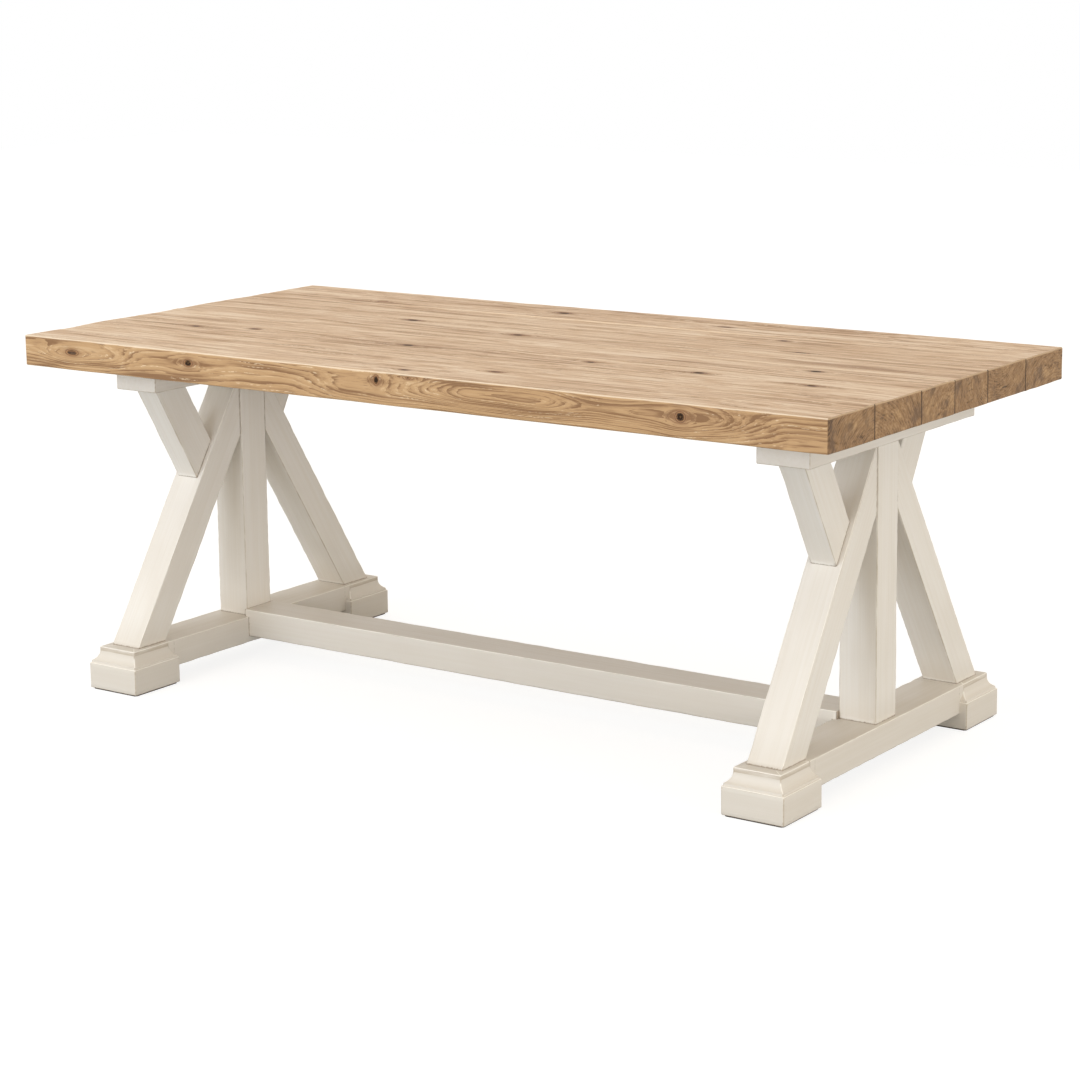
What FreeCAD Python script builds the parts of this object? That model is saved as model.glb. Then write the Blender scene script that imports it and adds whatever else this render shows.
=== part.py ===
"""Farmhouse trestle dining table: a thick plank top on two braced trestles joined by a low stretcher.

Origin: on the floor, under the middle of the top. X runs along the top, Y across it, Z up. Millimetres.
Each trestle member is drawn at the table's centre and is then moved out along X to its own trestle.
"""
import FreeCAD
import Part
import Sketcher
import math
import os
import re

Vector = FreeCAD.Vector
X_AXIS = Vector(1, 0, 0)
Y_AXIS = Vector(0, 1, 0)
Z_AXIS = Vector(0, 0, 1)
TOLERANCE = 1e-6

SIZES = {
    # plank top
    "table_height": 762,
    "table_length": 1930,
    "top_thickness": 64,
    "plank_width_1": 164,
    "plank_width_2": 176,
    "plank_width_3": 132,
    "plank_width_4": 136,
    "plank_width_5": 164,
    "plank_width_6": 168,
    "plank_joint_chamfer": 0.8,
    "top_edge_chamfer": 2,
    # loose tongues glued into grooves between the planks
    "tongue_width": 28,
    "tongue_thickness": 12,
    "tongue_stop": 70,
    "tongue_fit": 0.2,
    # trestles
    "top_overhang": 175,
    "bearer_length": 650,
    "bearer_width": 112,
    "bearer_height": 62,
    "post_width": 80,
    "post_depth": 80,
    "post_tenon_width": 40,
    "post_tenon_length": 32,
    "rail_width": 100,
    "rail_height": 58,
    "rail_tenon_width": 60,
    "rail_tenon_height": 28,
    "rail_tenon_length": 40,
    "member_edge_round": 2,
    "bearer_edge_chamfer": 2,
    "mortise_fit": 0.3,
    # moulded feet
    "foot_height": 92,
    "foot_width": 132,
    "foot_depth": 138,
    "foot_toe": 42,
    "plinth_height": 58,
    "moulding_inset": 16,
    "moulding_ledge": 3,
    "moulding_band": 8,
    "cove_radius": 24,
    "waste_margin": 5,
    "moulding_edge_chamfer": 1.2,
    "pad_thickness": 3,
    "pad_inset": 4,
    "pad_corner_chamfer": 4,
    # long diagonal legs and short braces
    "leg_width": 76,
    "leg_thickness": 72,
    "leg_reach": 388,
    "brace_width": 56,
    "brace_thickness": 80,
    "front_brace_setback": 29,
    "back_brace_setback": 145,
    "brace_lean": 30,
    # stretcher
    "stretcher_width": 96,
    "stretcher_height": 60,
    "stretcher_rise": 16,
    "stretcher_tenon_width": 56,
    "stretcher_tenon_height": 24,
    "stretcher_tenon_length": 24,
    "peg_width": 8,
    "peg_length": 50,
    "peg_setback": 14,
    "peg_spacing": 30,
    "peg_fit": 0.2,
    # loose tenons, half of each in either piece of a joint
    "loose_tenon_width": 36,
    "loose_tenon_thickness": 12,
    "loose_tenon_length": 44,
    "loose_tenon_fit": 0.2,
    "loose_tenon_end_gap": 1,
    "foot_tenon_setback": 38,
    "post_tenon_rise": 50,
    # pan-head screws that hold the bearers to the planks
    "screw_diameter": 6,
    "screw_length": 78,
    "screw_point_length": 9,
    "screw_head_diameter": 12,
    "screw_head_height": 3.6,
    "screw_offset": 42,
    "screw_fit": 0.3,
    "screw_end_gap": 2,
    "screw_slot_length": 14,
    "screw_sink_width": 15,
    "screw_sink_length": 23,
    "screw_sink_depth": 20,
}

PLANK_COUNT = 6
# The screws are in the inner planks. The front and back planks reach out past the bearers.
SCREWED_PLANKS = range(2, PLANK_COUNT)

# The two ends of a trestle, and whether a member there is turned round from how it is drawn.
ENDS = {"front": False, "back": True}

# Sizes that follow from the ones above.
DERIVED = {
    "top_underside": "table_height - top_thickness",
    "bearer_underside": "top_underside - bearer_height",
    "top_width": " + ".join(f"plank_width_{n}" for n in range(1, PLANK_COUNT + 1)),
    "trestle_spread": "table_length - 2 * top_overhang",
    "foot_reach": "leg_reach + foot_toe",
    "front_brace_reach": "bearer_length / 2 - front_brace_setback",
    "back_brace_reach": "bearer_length / 2 - back_brace_setback",
    "rail_underside": "foot_height - rail_height",
    "foot_inner_reach": "foot_reach - foot_depth",
    "leg_slope": "(leg_reach - post_depth / 2) / (bearer_underside - foot_height)",
    "leg_lean": "atan(leg_slope)",
    "leg_footprint": "leg_thickness * sqrt(1 + leg_slope ^ 2)",
    "leg_inner_reach": "leg_reach - leg_footprint",
    "leg_cut_bottom": "foot_height + (leg_inner_reach - post_depth / 2) / leg_slope",
    "brace_footprint": "brace_thickness / cos(brace_lean)",
    "stretcher_top": "foot_height + stretcher_rise",
    "stretcher_underside": "stretcher_top - stretcher_height",
    "stretcher_tenon_middle": "(stretcher_underside + foot_height) / 2",
    "screw_seat": "bearer_underside + screw_sink_depth",
    "cove_top": "foot_height - moulding_band",
    "cove_run": "moulding_inset - moulding_ledge",
    "cove_bottom": "cove_top - sqrt(cove_radius ^ 2 - (cove_radius - cove_run) ^ 2)",
}

document = FreeCAD.newDocument("TrestleTable")
sheet = document.addObject("Spreadsheet::Sheet", "Sizes")
subparts = []


def fill_sheet():
    """One row for each driving size: its name, and its value under the same alias."""
    for row, (name, size) in enumerate(SIZES.items(), 1):
        sheet.set(f"A{row}", name)
        sheet.set(f"B{row}", str(size))
        sheet.setAlias(f"B{row}", name)
    document.recompute()


def sized(text):
    """Write an expression's names as references to the sheet, with derived sizes worked out."""
    def reference(match):
        name = match.group()
        if name in SIZES:
            return f"Sizes.{name}"
        if name in DERIVED:
            return f"({sized(DERIVED[name])})"
        return name
    return re.sub(r"[a-z][a-z_0-9]*", reference, text)


def number(text):
    """The present value of an expression."""
    found = sheet.evalExpression(sized(text))
    return float(getattr(found, "Value", found))


def bind(item, **properties):
    """Tie an object's properties to expressions; two underscores in a key stand for a dot."""
    for name, text in properties.items():
        item.setExpression(name.replace("__", "."), sized(str(text)))


def keep(item, label):
    """Name a finished sub-part. Its label is the name of its file too."""
    item.Label = label
    subparts.append(item)
    return item


def new_body(name):
    return document.addObject("PartDesign::Body", name)


def new_sketch(body, name, plane, offset=None):
    """A sketch on one of the body's own origin planes, moved along that plane's normal by offset."""
    sketch = body.newObject("Sketcher::SketchObject", name)
    support = next(item for item in body.Origin.OriginFeatures if item.Role == plane)
    sketch.AttachmentSupport = [(support, "")]
    sketch.MapMode = "FlatFace"
    if offset is not None:
        bind(sketch, AttachmentOffset__Base__z=offset)
    return sketch


def constrain(sketch, kind, *place, text):
    index = sketch.addConstraint(Sketcher.Constraint(kind, *place, number(text)))
    sketch.setExpression(f"Constraints[{index}]", sized(text))


def turned_arc(start, end, centre):
    """The shorter arc between two points, and whether it runs from start to end anticlockwise."""
    first = math.atan2(start[1] - centre[1], start[0] - centre[0])
    last = math.atan2(end[1] - centre[1], end[0] - centre[0])
    forward = (last - first) % (2 * math.pi) <= math.pi + 1e-9
    if not forward:
        first, last = last, first
    if last < first:
        last += 2 * math.pi
    radius = math.hypot(start[0] - centre[0], start[1] - centre[1])
    circle = Part.Circle(Vector(centre[0], centre[1], 0), Z_AXIS, radius)
    return Part.ArcOfCircle(circle, first, last), forward


def draw_outline(sketch, points, arcs=None):
    """A closed outline. Each point is a pair of expressions; arcs gives the centre of each side that is
    an arc, by the number of the side's first point. The two ends of an arc differ along the first axis."""
    arcs = arcs or {}
    corners = [(number(x), number(y)) for x, y in points]
    base = sketch.GeometryCount
    ends = []
    for side, start in enumerate(corners):
        end = corners[(side + 1) % len(corners)]
        if side in arcs:
            centre = (number(arcs[side][0]), number(arcs[side][1]))
            curve, forward = turned_arc(start, end, centre)
            ends.append((1, 2) if forward else (2, 1))
        else:
            curve = Part.LineSegment(Vector(*start, 0), Vector(*end, 0))
            ends.append((1, 2))
        sketch.addGeometry(curve, False)
    for side in range(len(corners)):
        after = (side + 1) % len(corners)
        sketch.addConstraint(
            Sketcher.Constraint("Coincident", base + side, ends[side][1], base + after, ends[after][0]))
    for side, (x, y) in enumerate(points):
        constrain(sketch, "DistanceX", -1, 1, base + side, ends[side][0], text=x)
        constrain(sketch, "DistanceY", -1, 1, base + side, ends[side][0], text=y)
    for side, (_, y) in arcs.items():
        constrain(sketch, "DistanceY", -1, 1, base + side, 3, text=y)


def draw_rectangle(sketch, left, right, bottom, top):
    draw_outline(sketch, [(left, bottom), (right, bottom), (right, top), (left, top)])


def draw_centred(sketch, width, height, x="0", y="0"):
    """A rectangle about the point x, y."""
    draw_rectangle(sketch, f"{x} - ({width}) / 2", f"{x} + ({width}) / 2",
                   f"{y} - ({height}) / 2", f"{y} + ({height}) / 2")


def draw_circle(sketch, x, y, radius):
    place = Vector(number(x), number(y), 0)
    index = sketch.addGeometry(Part.Circle(place, Z_AXIS, number(radius)), False)
    constrain(sketch, "DistanceX", -1, 1, index, 3, text=x)
    constrain(sketch, "DistanceY", -1, 1, index, 3, text=y)
    constrain(sketch, "Radius", index, text=radius)


def draw_slot(sketch, x, y, width, length):
    """A slot with round ends that runs along the sketch's second axis."""
    half = f"({width}) / 2"
    reach = f"(({length}) - ({width})) / 2"
    points = [(f"{x} + {half}", f"{y} - {reach}"), (f"{x} + {half}", f"{y} + {reach}"),
              (f"{x} - {half}", f"{y} + {reach}"), (f"{x} - {half}", f"{y} - {reach}")]
    arcs = {1: (x, f"{y} + {reach}"), 3: (x, f"{y} - {reach}")}
    draw_outline(sketch, points, arcs)


def pad(body, sketch, length, symmetric=False, reverse=False):
    feature = body.newObject("PartDesign::Pad", sketch.Name + "Pad")
    feature.Profile = sketch
    bind(feature, Length=length)
    feature.SideType = "Symmetric" if symmetric else "One side"
    feature.Reversed = reverse
    return feature


def pocket(body, sketch, depth=None, reverse=False):
    """Cut against the sketch's normal, or along it if reversed; with no depth, cut right through."""
    document.recompute()
    before = body.Shape.Volume
    feature = body.newObject("PartDesign::Pocket", sketch.Name + "Pocket")
    feature.Profile = sketch
    if depth is None:
        feature.Type = "ThroughAll"
        feature.SideType = "Symmetric"
    else:
        bind(feature, Length=depth)
        feature.Reversed = reverse
    document.recompute()
    if body.Shape.Volume >= before:
        raise RuntimeError(f"{feature.Name} cuts nothing")
    return feature


def revolve(body, sketch):
    """Turn a profile about the sketch's upright axis."""
    feature = body.newObject("PartDesign::Revolution", sketch.Name + "Revolution")
    feature.Profile = sketch
    feature.ReferenceAxis = (sketch, ["V_Axis"])
    feature.Angle = 360
    return feature


def ease_edges(body, kind, size, chosen):
    """Round or chamfer the straight edges of the last feature that chosen(middle, direction) accepts."""
    document.recompute()
    base = body.Tip
    names = []
    for index, edge in enumerate(base.Shape.Edges, 1):
        if isinstance(edge.Curve, Part.Line):
            ends = [vertex.Point for vertex in edge.Vertexes]
            if chosen((ends[0] + ends[1]) / 2, (ends[1] - ends[0]).normalize()):
                names.append(f"Edge{index}")
    feature = body.newObject(f"PartDesign::{kind}", f"{base.Name}{kind}")
    feature.Base = (base, names)
    if kind == "Fillet":
        bind(feature, Radius=size)
    else:
        bind(feature, Size=size)
    return feature


def same(first, second):
    return abs(first - second) < TOLERANCE


def runs_along(direction, axis):
    """Whether an edge's direction is along a unit axis, either way."""
    return same(abs(direction.dot(axis)), 1)


def place(item, side=0, turned=False):
    """Stand a member that was drawn at the centre on the left (-1) or right (1) trestle."""
    spin = FreeCAD.Rotation(Z_AXIS, 180 if turned else 0)
    item.Placement = FreeCAD.Placement(Vector(0, 0, 0), spin)
    if side:
        bind(item, Placement__Base__x=f"{side} * trestle_spread / 2")


def copies(name, master, places):
    """A group of separate solids: the master at each place, given as x, y, z and its tilt about X."""
    links = []
    for index, (x, y, z, tilt) in enumerate(places, 1):
        link = document.addObject("App::Link", f"{name}_{index}")
        link.LinkedObject = master
        link.Placement = FreeCAD.Placement(Vector(0, 0, 0), FreeCAD.Rotation(X_AXIS, number(tilt)))
        bind(link, Placement__Base__x=x, Placement__Base__y=y, Placement__Base__z=z)
        if tilt != "0":
            bind(link, Placement__Rotation__Angle=tilt)
        links.append(link)
    group = document.addObject("Part::Compound", name)
    group.Links = links
    return group


def cut_mortises(name, body, tools):
    """A member with the mortises for its loose tenons cut in it."""
    for index, tool in enumerate(tools, 1):
        cut = document.addObject("Part::Cut", f"{name}_mortised_{index}")
        cut.Base = body
        cut.Tool = tool
        body = cut
    return body


# ---------------------------------------------------------------- loose tenons, pegs and screws

def make_loose_tenon():
    """Flat loose tenon, upright and centred on its joint."""
    body = new_body("loose_tenon")
    sketch = new_sketch(body, "loose_tenon_section", "XY_Plane")
    draw_centred(sketch, "loose_tenon_width", "loose_tenon_thickness")
    pad(body, sketch, "loose_tenon_length", symmetric=True)
    return body


def make_loose_mortise():
    """The space that a loose tenon needs, with its clearances."""
    body = new_body("loose_mortise")
    sketch = new_sketch(body, "loose_mortise_section", "XY_Plane")
    draw_centred(sketch, "loose_tenon_width + 2 * loose_tenon_fit",
                 "loose_tenon_thickness + 2 * loose_tenon_fit")
    pad(body, sketch, "loose_tenon_length + 2 * loose_tenon_end_gap", symmetric=True)
    return body


def make_screw():
    """Pan-head wood screw with its point up. The head's bearing face is at z = 0."""
    body = new_body("bearer_screw")
    sketch = new_sketch(body, "bearer_screw_profile", "XZ_Plane")
    head = "screw_head_diameter / 2"
    shank = "screw_diameter / 2"
    points = [("0", "-screw_head_height"), (head, "-screw_head_height"), (head, "0"), (shank, "0"),
              (shank, "screw_length - screw_point_length"), ("0", "screw_length")]
    draw_outline(sketch, points)
    revolve(body, sketch)
    return body


def make_peg():
    """Square peg that locks the stretcher's tenon from under the rail."""
    body = new_body("stretcher_peg")
    sketch = new_sketch(body, "stretcher_peg_section", "XY_Plane")
    draw_centred(sketch, "peg_width", "peg_width")
    pad(body, sketch, "peg_length")
    return body


def plank_front(index):
    """Y of the front edge of a plank, counted from the front of the top."""
    before = "".join(f" + plank_width_{n}" for n in range(1, index))
    return f"(-(top_width) / 2{before})"


def plank_middle(index):
    return f"({plank_front(index)} + plank_width_{index} / 2)"


def brace_corners(end):
    """Y and Z of a brace's corners, drawn at the front: outer and inner top, inner and outer foot. Its foot
    lies on the long leg's outer face."""
    corners = []
    for reach in (f"{end}_brace_reach", f"({end}_brace_reach - brace_footprint)"):
        height = (f"((leg_reach + foot_height * leg_slope - {reach}"
                  " + bearer_underside * tan(brace_lean)) / (leg_slope + tan(brace_lean)))")
        corners.append((f"-{reach}", "bearer_underside"))
        corners.append((f"-(leg_reach - ({height} - foot_height) * leg_slope)", height))
    outer_top, outer_foot, inner_top, inner_foot = corners
    return [outer_top, inner_top, inner_foot, outer_foot]


def loose_tenon_places(end):
    """Where the loose tenons of one end of a trestle sit, drawn at the front, by joint."""
    outer_top, inner_top, inner_foot, outer_foot = brace_corners(end)
    return {
        "foot": [("0", "foot_tenon_setback - leg_reach", "foot_height", "0")],
        "post": [("0", "-post_depth / 2", "leg_cut_bottom + post_tenon_rise", "90 deg")],
        "brace_top": [("0", f"({outer_top[0]} + {inner_top[0]}) / 2", "bearer_underside", "0")],
        "brace_foot": [("0", f"({outer_foot[0]} + {inner_foot[0]}) / 2",
                        f"({outer_foot[1]} + {inner_foot[1]}) / 2", "90 deg - leg_lean")],
    }


def both_ends(front, back):
    """Places at the front of a trestle, and those of its back end moved there from where they are drawn."""
    turned = [(x, f"-({y})", z, tilt if tilt == "0" else f"-({tilt})") for x, y, z, tilt in back]
    return front + turned


# ---------------------------------------------------------------- top

def make_plank(index):
    """One plank: grooved for loose tongues, bored from below for the screws, edges eased."""
    body = new_body(f"plank_{index}")
    front = plank_front(index)
    back = f"({front} + plank_width_{index})"
    section = new_sketch(body, f"plank_{index}_section", "YZ_Plane")
    draw_rectangle(section, front, back, "top_underside", "table_height")
    pad(body, section, "table_length", symmetric=True)
    middle_height = "top_underside + top_thickness / 2"
    grooves = []
    if index > 1:
        grooves.append(("front", f"-{front}", False))
    if index < PLANK_COUNT:
        grooves.append(("back", f"-{back}", True))
    for edge, offset, reverse in grooves:
        groove = new_sketch(body, f"plank_{index}_{edge}_groove", "XZ_Plane", offset)
        draw_centred(groove, "table_length - 2 * tongue_stop + 2 * tongue_fit",
                     "tongue_thickness + 2 * tongue_fit", y=f"({middle_height})")
        pocket(body, groove, "tongue_width / 2 + tongue_fit", reverse=reverse)
    if index in SCREWED_PLANKS:
        pilots = new_sketch(body, f"plank_{index}_pilots", "XY_Plane", "top_underside")
        for side in (-1, 1):
            x, y = screw_spot(index, side)
            draw_circle(pilots, f"{side} * trestle_spread / 2 + {x}", y, "screw_diameter / 2 + screw_fit")
        pocket(body, pilots, "screw_seat + screw_length + screw_end_gap - top_underside", reverse=True)
    ease_plank(body, index)
    return keep(body, f"top_plank_{index}")


def ease_plank(body, index):
    """Chamfer the outer edges of the top, and more finely the top edges of the joints between planks."""
    top, underside = number("table_height"), number("top_underside")
    end = number("table_length / 2")
    sides = [number(plank_front(index)), number(plank_front(index + 1))]
    outer_side = {1: sides[0], PLANK_COUNT: sides[1]}.get(index)

    def on_outer_side(middle):
        return outer_side is not None and same(middle.y, outer_side)

    def outer_edge(middle, direction):
        face_edge = same(middle.z, top) or same(middle.z, underside)
        across_end = same(abs(middle.x), end) and runs_along(direction, Y_AXIS)
        along_side = on_outer_side(middle) and runs_along(direction, X_AXIS)
        corner = on_outer_side(middle) and runs_along(direction, Z_AXIS)
        return (face_edge and (across_end or along_side)) or corner

    def joint_edge(middle, direction):
        meets_next = any(same(middle.y, side) for side in sides) and not on_outer_side(middle)
        return meets_next and same(middle.z, top) and runs_along(direction, X_AXIS)

    ease_edges(body, "Chamfer", "top_edge_chamfer", outer_edge)
    ease_edges(body, "Chamfer", "plank_joint_chamfer", joint_edge)


def screw_spot(index, side):
    """Where a plank's screw goes through a trestle's bearer. The screws stagger from plank to plank."""
    return f"{side * (-1) ** index} * screw_offset", plank_middle(index)


def make_tongue(index):
    """Loose tongue between this plank and the next."""
    tongue = document.addObject("Part::Box", f"tongue_{index}")
    bind(tongue, Length="table_length - 2 * tongue_stop", Width="tongue_width", Height="tongue_thickness",
         Placement__Base__x="tongue_stop - table_length / 2",
         Placement__Base__y=f"{plank_front(index + 1)} - tongue_width / 2",
         Placement__Base__z="top_underside + (top_thickness - tongue_thickness) / 2")
    return keep(tongue, f"top_tongue_{index}")


# ---------------------------------------------------------------- trestle members

def make_bearer(name, side, mortises):
    """Flat beam across the top of a trestle, with slots that let the planks move on their screws."""
    body = new_body(f"{name}_body")
    section = new_sketch(body, f"{name}_section", "XZ_Plane")
    draw_rectangle(section, "-bearer_width / 2", "bearer_width / 2", "bearer_underside", "top_underside")
    pad(body, section, "bearer_length", symmetric=True)
    sinks = new_sketch(body, f"{name}_sinks", "XY_Plane", "bearer_underside")
    slots = new_sketch(body, f"{name}_slots", "XY_Plane", "bearer_underside")
    for plank in SCREWED_PLANKS:
        x, y = screw_spot(plank, side)
        draw_slot(sinks, x, y, "screw_sink_width", "screw_sink_length")
        draw_slot(slots, x, y, "screw_diameter + 2 * screw_fit", "screw_slot_length")
    pocket(body, sinks, "screw_sink_depth", reverse=True)
    pocket(body, slots, "bearer_height", reverse=True)
    mortise = new_sketch(body, f"{name}_mortise", "XY_Plane", "bearer_underside")
    draw_centred(mortise, "post_tenon_width + 2 * mortise_fit", "post_tenon_width + 2 * mortise_fit")
    pocket(body, mortise, "post_tenon_length + mortise_fit", reverse=True)
    half_width = number("bearer_width / 2")
    half_length = number("bearer_length / 2")
    lowest = number("bearer_underside")

    def shown_edge(middle, direction):
        on_side = same(abs(middle.x), half_width)
        on_end = same(abs(middle.y), half_length)
        under = same(middle.z, lowest)
        return (under and (on_side or on_end)) or (on_end and runs_along(direction, Z_AXIS))

    ease_edges(body, "Chamfer", "bearer_edge_chamfer", shown_edge)
    mortised = cut_mortises(name, body, [mortises["brace_top"]])
    place(mortised, side)
    return keep(mortised, name)


def make_post(name, side, mortises):
    """Square upright with a tenon at each end."""
    body = new_body(f"{name}_body")
    section = new_sketch(body, f"{name}_section", "XY_Plane", "foot_height")
    draw_centred(section, "post_width", "post_depth")
    pad(body, section, "bearer_underside - foot_height")
    ease_edges(body, "Fillet", "member_edge_round", lambda middle, direction: runs_along(direction, Z_AXIS))
    tenon = new_sketch(body, f"{name}_tenons", "XY_Plane", "foot_height - post_tenon_length")
    draw_centred(tenon, "post_tenon_width", "post_tenon_width")
    pad(body, tenon, "bearer_underside - foot_height + 2 * post_tenon_length")
    mortised = cut_mortises(name, body, [mortises["post"]])
    place(mortised, side)
    return keep(mortised, name)


def make_rail(name, side):
    """Low beam between the feet, tenoned into both, with mortises for the post and the stretcher."""
    body = new_body(name)
    section = new_sketch(body, f"{name}_section", "XZ_Plane")
    draw_rectangle(section, "-rail_width / 2", "rail_width / 2", "rail_underside", "foot_height")
    pad(body, section, "2 * foot_inner_reach", symmetric=True)
    ease_edges(body, "Fillet", "member_edge_round", lambda middle, direction: runs_along(direction, Y_AXIS))
    tenon = new_sketch(body, f"{name}_tenons", "XZ_Plane")
    draw_centred(tenon, "rail_tenon_width", "rail_tenon_height", y="(rail_underside + rail_height / 2)")
    pad(body, tenon, "2 * (foot_inner_reach + rail_tenon_length)", symmetric=True)
    mortise = new_sketch(body, f"{name}_post_mortise", "XY_Plane", "foot_height")
    draw_centred(mortise, "post_tenon_width + 2 * mortise_fit", "post_tenon_width + 2 * mortise_fit")
    pocket(body, mortise, "post_tenon_length + mortise_fit")
    socket = new_sketch(body, f"{name}_stretcher_mortise", "YZ_Plane", "rail_width / 2")
    draw_centred(socket, "stretcher_tenon_width + 2 * mortise_fit",
                 "stretcher_tenon_height + 2 * mortise_fit", y="stretcher_tenon_middle")
    pocket(body, socket, "stretcher_tenon_length + mortise_fit")
    holes = new_sketch(body, f"{name}_peg_holes", "XY_Plane", "rail_underside")
    for x, y, _, _ in peg_places():
        draw_centred(holes, "peg_width + 2 * peg_fit", "peg_width + 2 * peg_fit", x, y)
    pocket(body, holes, "peg_length + peg_fit", reverse=True)
    place(body, side, turned=side > 0)
    return keep(body, name)


def peg_places():
    """The two pegs of one stretcher joint, in a trestle that has the stretcher on its +X side."""
    x = "(rail_width / 2 - peg_setback)"
    return [(x, f"{step} * peg_spacing / 2", "rail_underside", "0") for step in (-1, 1)]


def make_foot(name, side, turned, mortises):
    """Plinth foot: square block under a cove moulding that returns round every side up to the rail."""
    body = new_body(f"{name}_body")
    block = new_sketch(body, f"{name}_block", "XY_Plane", "pad_thickness")
    draw_rectangle(block, "-foot_width / 2", "foot_width / 2", "-foot_reach", "-(foot_inner_reach)")
    pad(body, block, "foot_height - pad_thickness")
    ease_edges(body, "Chamfer", "moulding_edge_chamfer",
               lambda middle, direction: runs_along(direction, Z_AXIS))
    flanks = new_sketch(body, f"{name}_flank_coves", "XZ_Plane")
    draw_cove(flanks, "foot_width / 2", "-")
    draw_cove(flanks, "-foot_width / 2", "+")
    pocket(body, flanks)
    ends = new_sketch(body, f"{name}_end_coves", "YZ_Plane")
    draw_cove(ends, "-foot_reach", "+")
    draw_cove(ends, "-(foot_inner_reach)", "-")
    pocket(body, ends)
    seat = new_sketch(body, f"{name}_rail_seat", "XZ_Plane", "foot_inner_reach")
    draw_rectangle(seat, "-rail_width / 2", "rail_width / 2", "plinth_height / 2", "foot_height")
    pad(body, seat, "foot_depth / 2")
    mortise = new_sketch(body, f"{name}_mortise", "XZ_Plane", "foot_inner_reach")
    draw_centred(mortise, "rail_tenon_width + 2 * mortise_fit", "rail_tenon_height + 2 * mortise_fit",
                 y="(rail_underside + rail_height / 2)")
    pocket(body, mortise, "rail_tenon_length + mortise_fit", reverse=True)
    mortised = cut_mortises(name, body, [mortises["foot"]])
    place(mortised, side, turned)
    return keep(mortised, name)


def draw_cove(sketch, face, inward):
    """The waste outside the moulding on one face: chamfered plinth, ledge, cove, band, chamfered top.
    face is where that face stands, and inward is + or -, the way from it into the wood."""
    chamfer = "moulding_edge_chamfer"

    def at(inset, height):
        return f"({face} {inward} ({inset}))", height

    points = [at("-waste_margin", f"plinth_height - {chamfer}"), at("0", f"plinth_height - {chamfer}"),
              at(chamfer, "plinth_height"), at("moulding_ledge", "plinth_height"),
              at("moulding_ledge", "cove_bottom"), at("moulding_inset", "cove_top"),
              at("moulding_inset", f"foot_height - {chamfer}"),
              at(f"moulding_inset + {chamfer}", "foot_height"),
              at(f"moulding_inset + {chamfer}", "foot_height + waste_margin"),
              at("-waste_margin", "foot_height + waste_margin")]
    draw_outline(sketch, points, {4: at("moulding_inset - cove_radius", "cove_top")})


def make_floor_pad(name, side, turned):
    """Felt pad under a foot."""
    body = new_body(name)
    sketch = new_sketch(body, f"{name}_outline", "XY_Plane")
    draw_rectangle(sketch, "pad_inset - foot_width / 2", "foot_width / 2 - pad_inset",
                   "pad_inset - foot_reach", "-(foot_inner_reach) - pad_inset")
    pad(body, sketch, "pad_thickness")
    ease_edges(body, "Chamfer", "pad_corner_chamfer", lambda middle, direction: runs_along(direction, Z_AXIS))
    place(body, side, turned)
    return keep(body, name)


def make_leg(name, side, turned, mortises):
    """Long diagonal leg: level cut on the foot, upright cut against the post."""
    body = new_body(f"{name}_body")
    sketch = new_sketch(body, f"{name}_side", "YZ_Plane")
    draw_outline(sketch, [("-leg_reach", "foot_height"), ("-(leg_inner_reach)", "foot_height"),
                          ("-post_depth / 2", "leg_cut_bottom"), ("-post_depth / 2", "bearer_underside")])
    pad(body, sketch, "leg_width", symmetric=True)
    along = Vector(0, number("leg_slope"), 1).normalize()
    ease_edges(body, "Fillet", "member_edge_round", lambda middle, direction: runs_along(direction, along))
    mortised = cut_mortises(name, body, [mortises[joint] for joint in ("foot", "post", "brace_foot")])
    place(mortised, side, turned)
    return keep(mortised, name)


def make_brace(name, side, end, turned, mortises):
    """Short brace from the bearer down to the outer face of the long leg. The back one is the shorter."""
    body = new_body(f"{name}_body")
    sketch = new_sketch(body, f"{name}_side", "YZ_Plane")
    draw_outline(sketch, brace_corners(end))
    pad(body, sketch, "brace_width", symmetric=True)
    along = Vector(0, -number("tan(brace_lean)"), 1).normalize()
    ease_edges(body, "Fillet", "member_edge_round", lambda middle, direction: runs_along(direction, along))
    mortised = cut_mortises(name, body, [mortises[joint] for joint in ("brace_top", "brace_foot")])
    place(mortised, side, turned)
    return keep(mortised, name)


def make_stretcher():
    """Long low beam between the trestles. Its upper part laps over each rail as far as the post."""
    body = new_body("stretcher")
    section = new_sketch(body, "stretcher_section", "YZ_Plane")
    draw_rectangle(section, "-stretcher_width / 2", "stretcher_width / 2",
                   "stretcher_underside", "stretcher_top")
    pad(body, section, "trestle_spread - rail_width", symmetric=True)
    lap = new_sketch(body, "stretcher_lap", "YZ_Plane")
    draw_rectangle(lap, "-stretcher_width / 2", "stretcher_width / 2", "foot_height", "stretcher_top")
    pad(body, lap, "trestle_spread - post_width", symmetric=True)
    lap_underside = number("foot_height")
    ease_edges(body, "Fillet", "member_edge_round", lambda middle, direction:
               runs_along(direction, X_AXIS) and not same(middle.z, lap_underside))
    tenon = new_sketch(body, "stretcher_tenons", "YZ_Plane")
    draw_centred(tenon, "stretcher_tenon_width", "stretcher_tenon_height", y="stretcher_tenon_middle")
    pad(body, tenon, "trestle_spread - rail_width + 2 * stretcher_tenon_length", symmetric=True)
    holes = new_sketch(body, "stretcher_peg_holes", "XY_Plane")
    for side in (-1, 1):
        for x, y, _, _ in peg_places():
            draw_centred(holes, "peg_width + 2 * peg_fit", "peg_width + 2 * peg_fit",
                         f"{side} * (trestle_spread / 2 - {x})", y)
    pocket(body, holes, "rail_underside + peg_length + peg_fit", reverse=True)
    return keep(body, "stretcher")


# ---------------------------------------------------------------- the whole table

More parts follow.
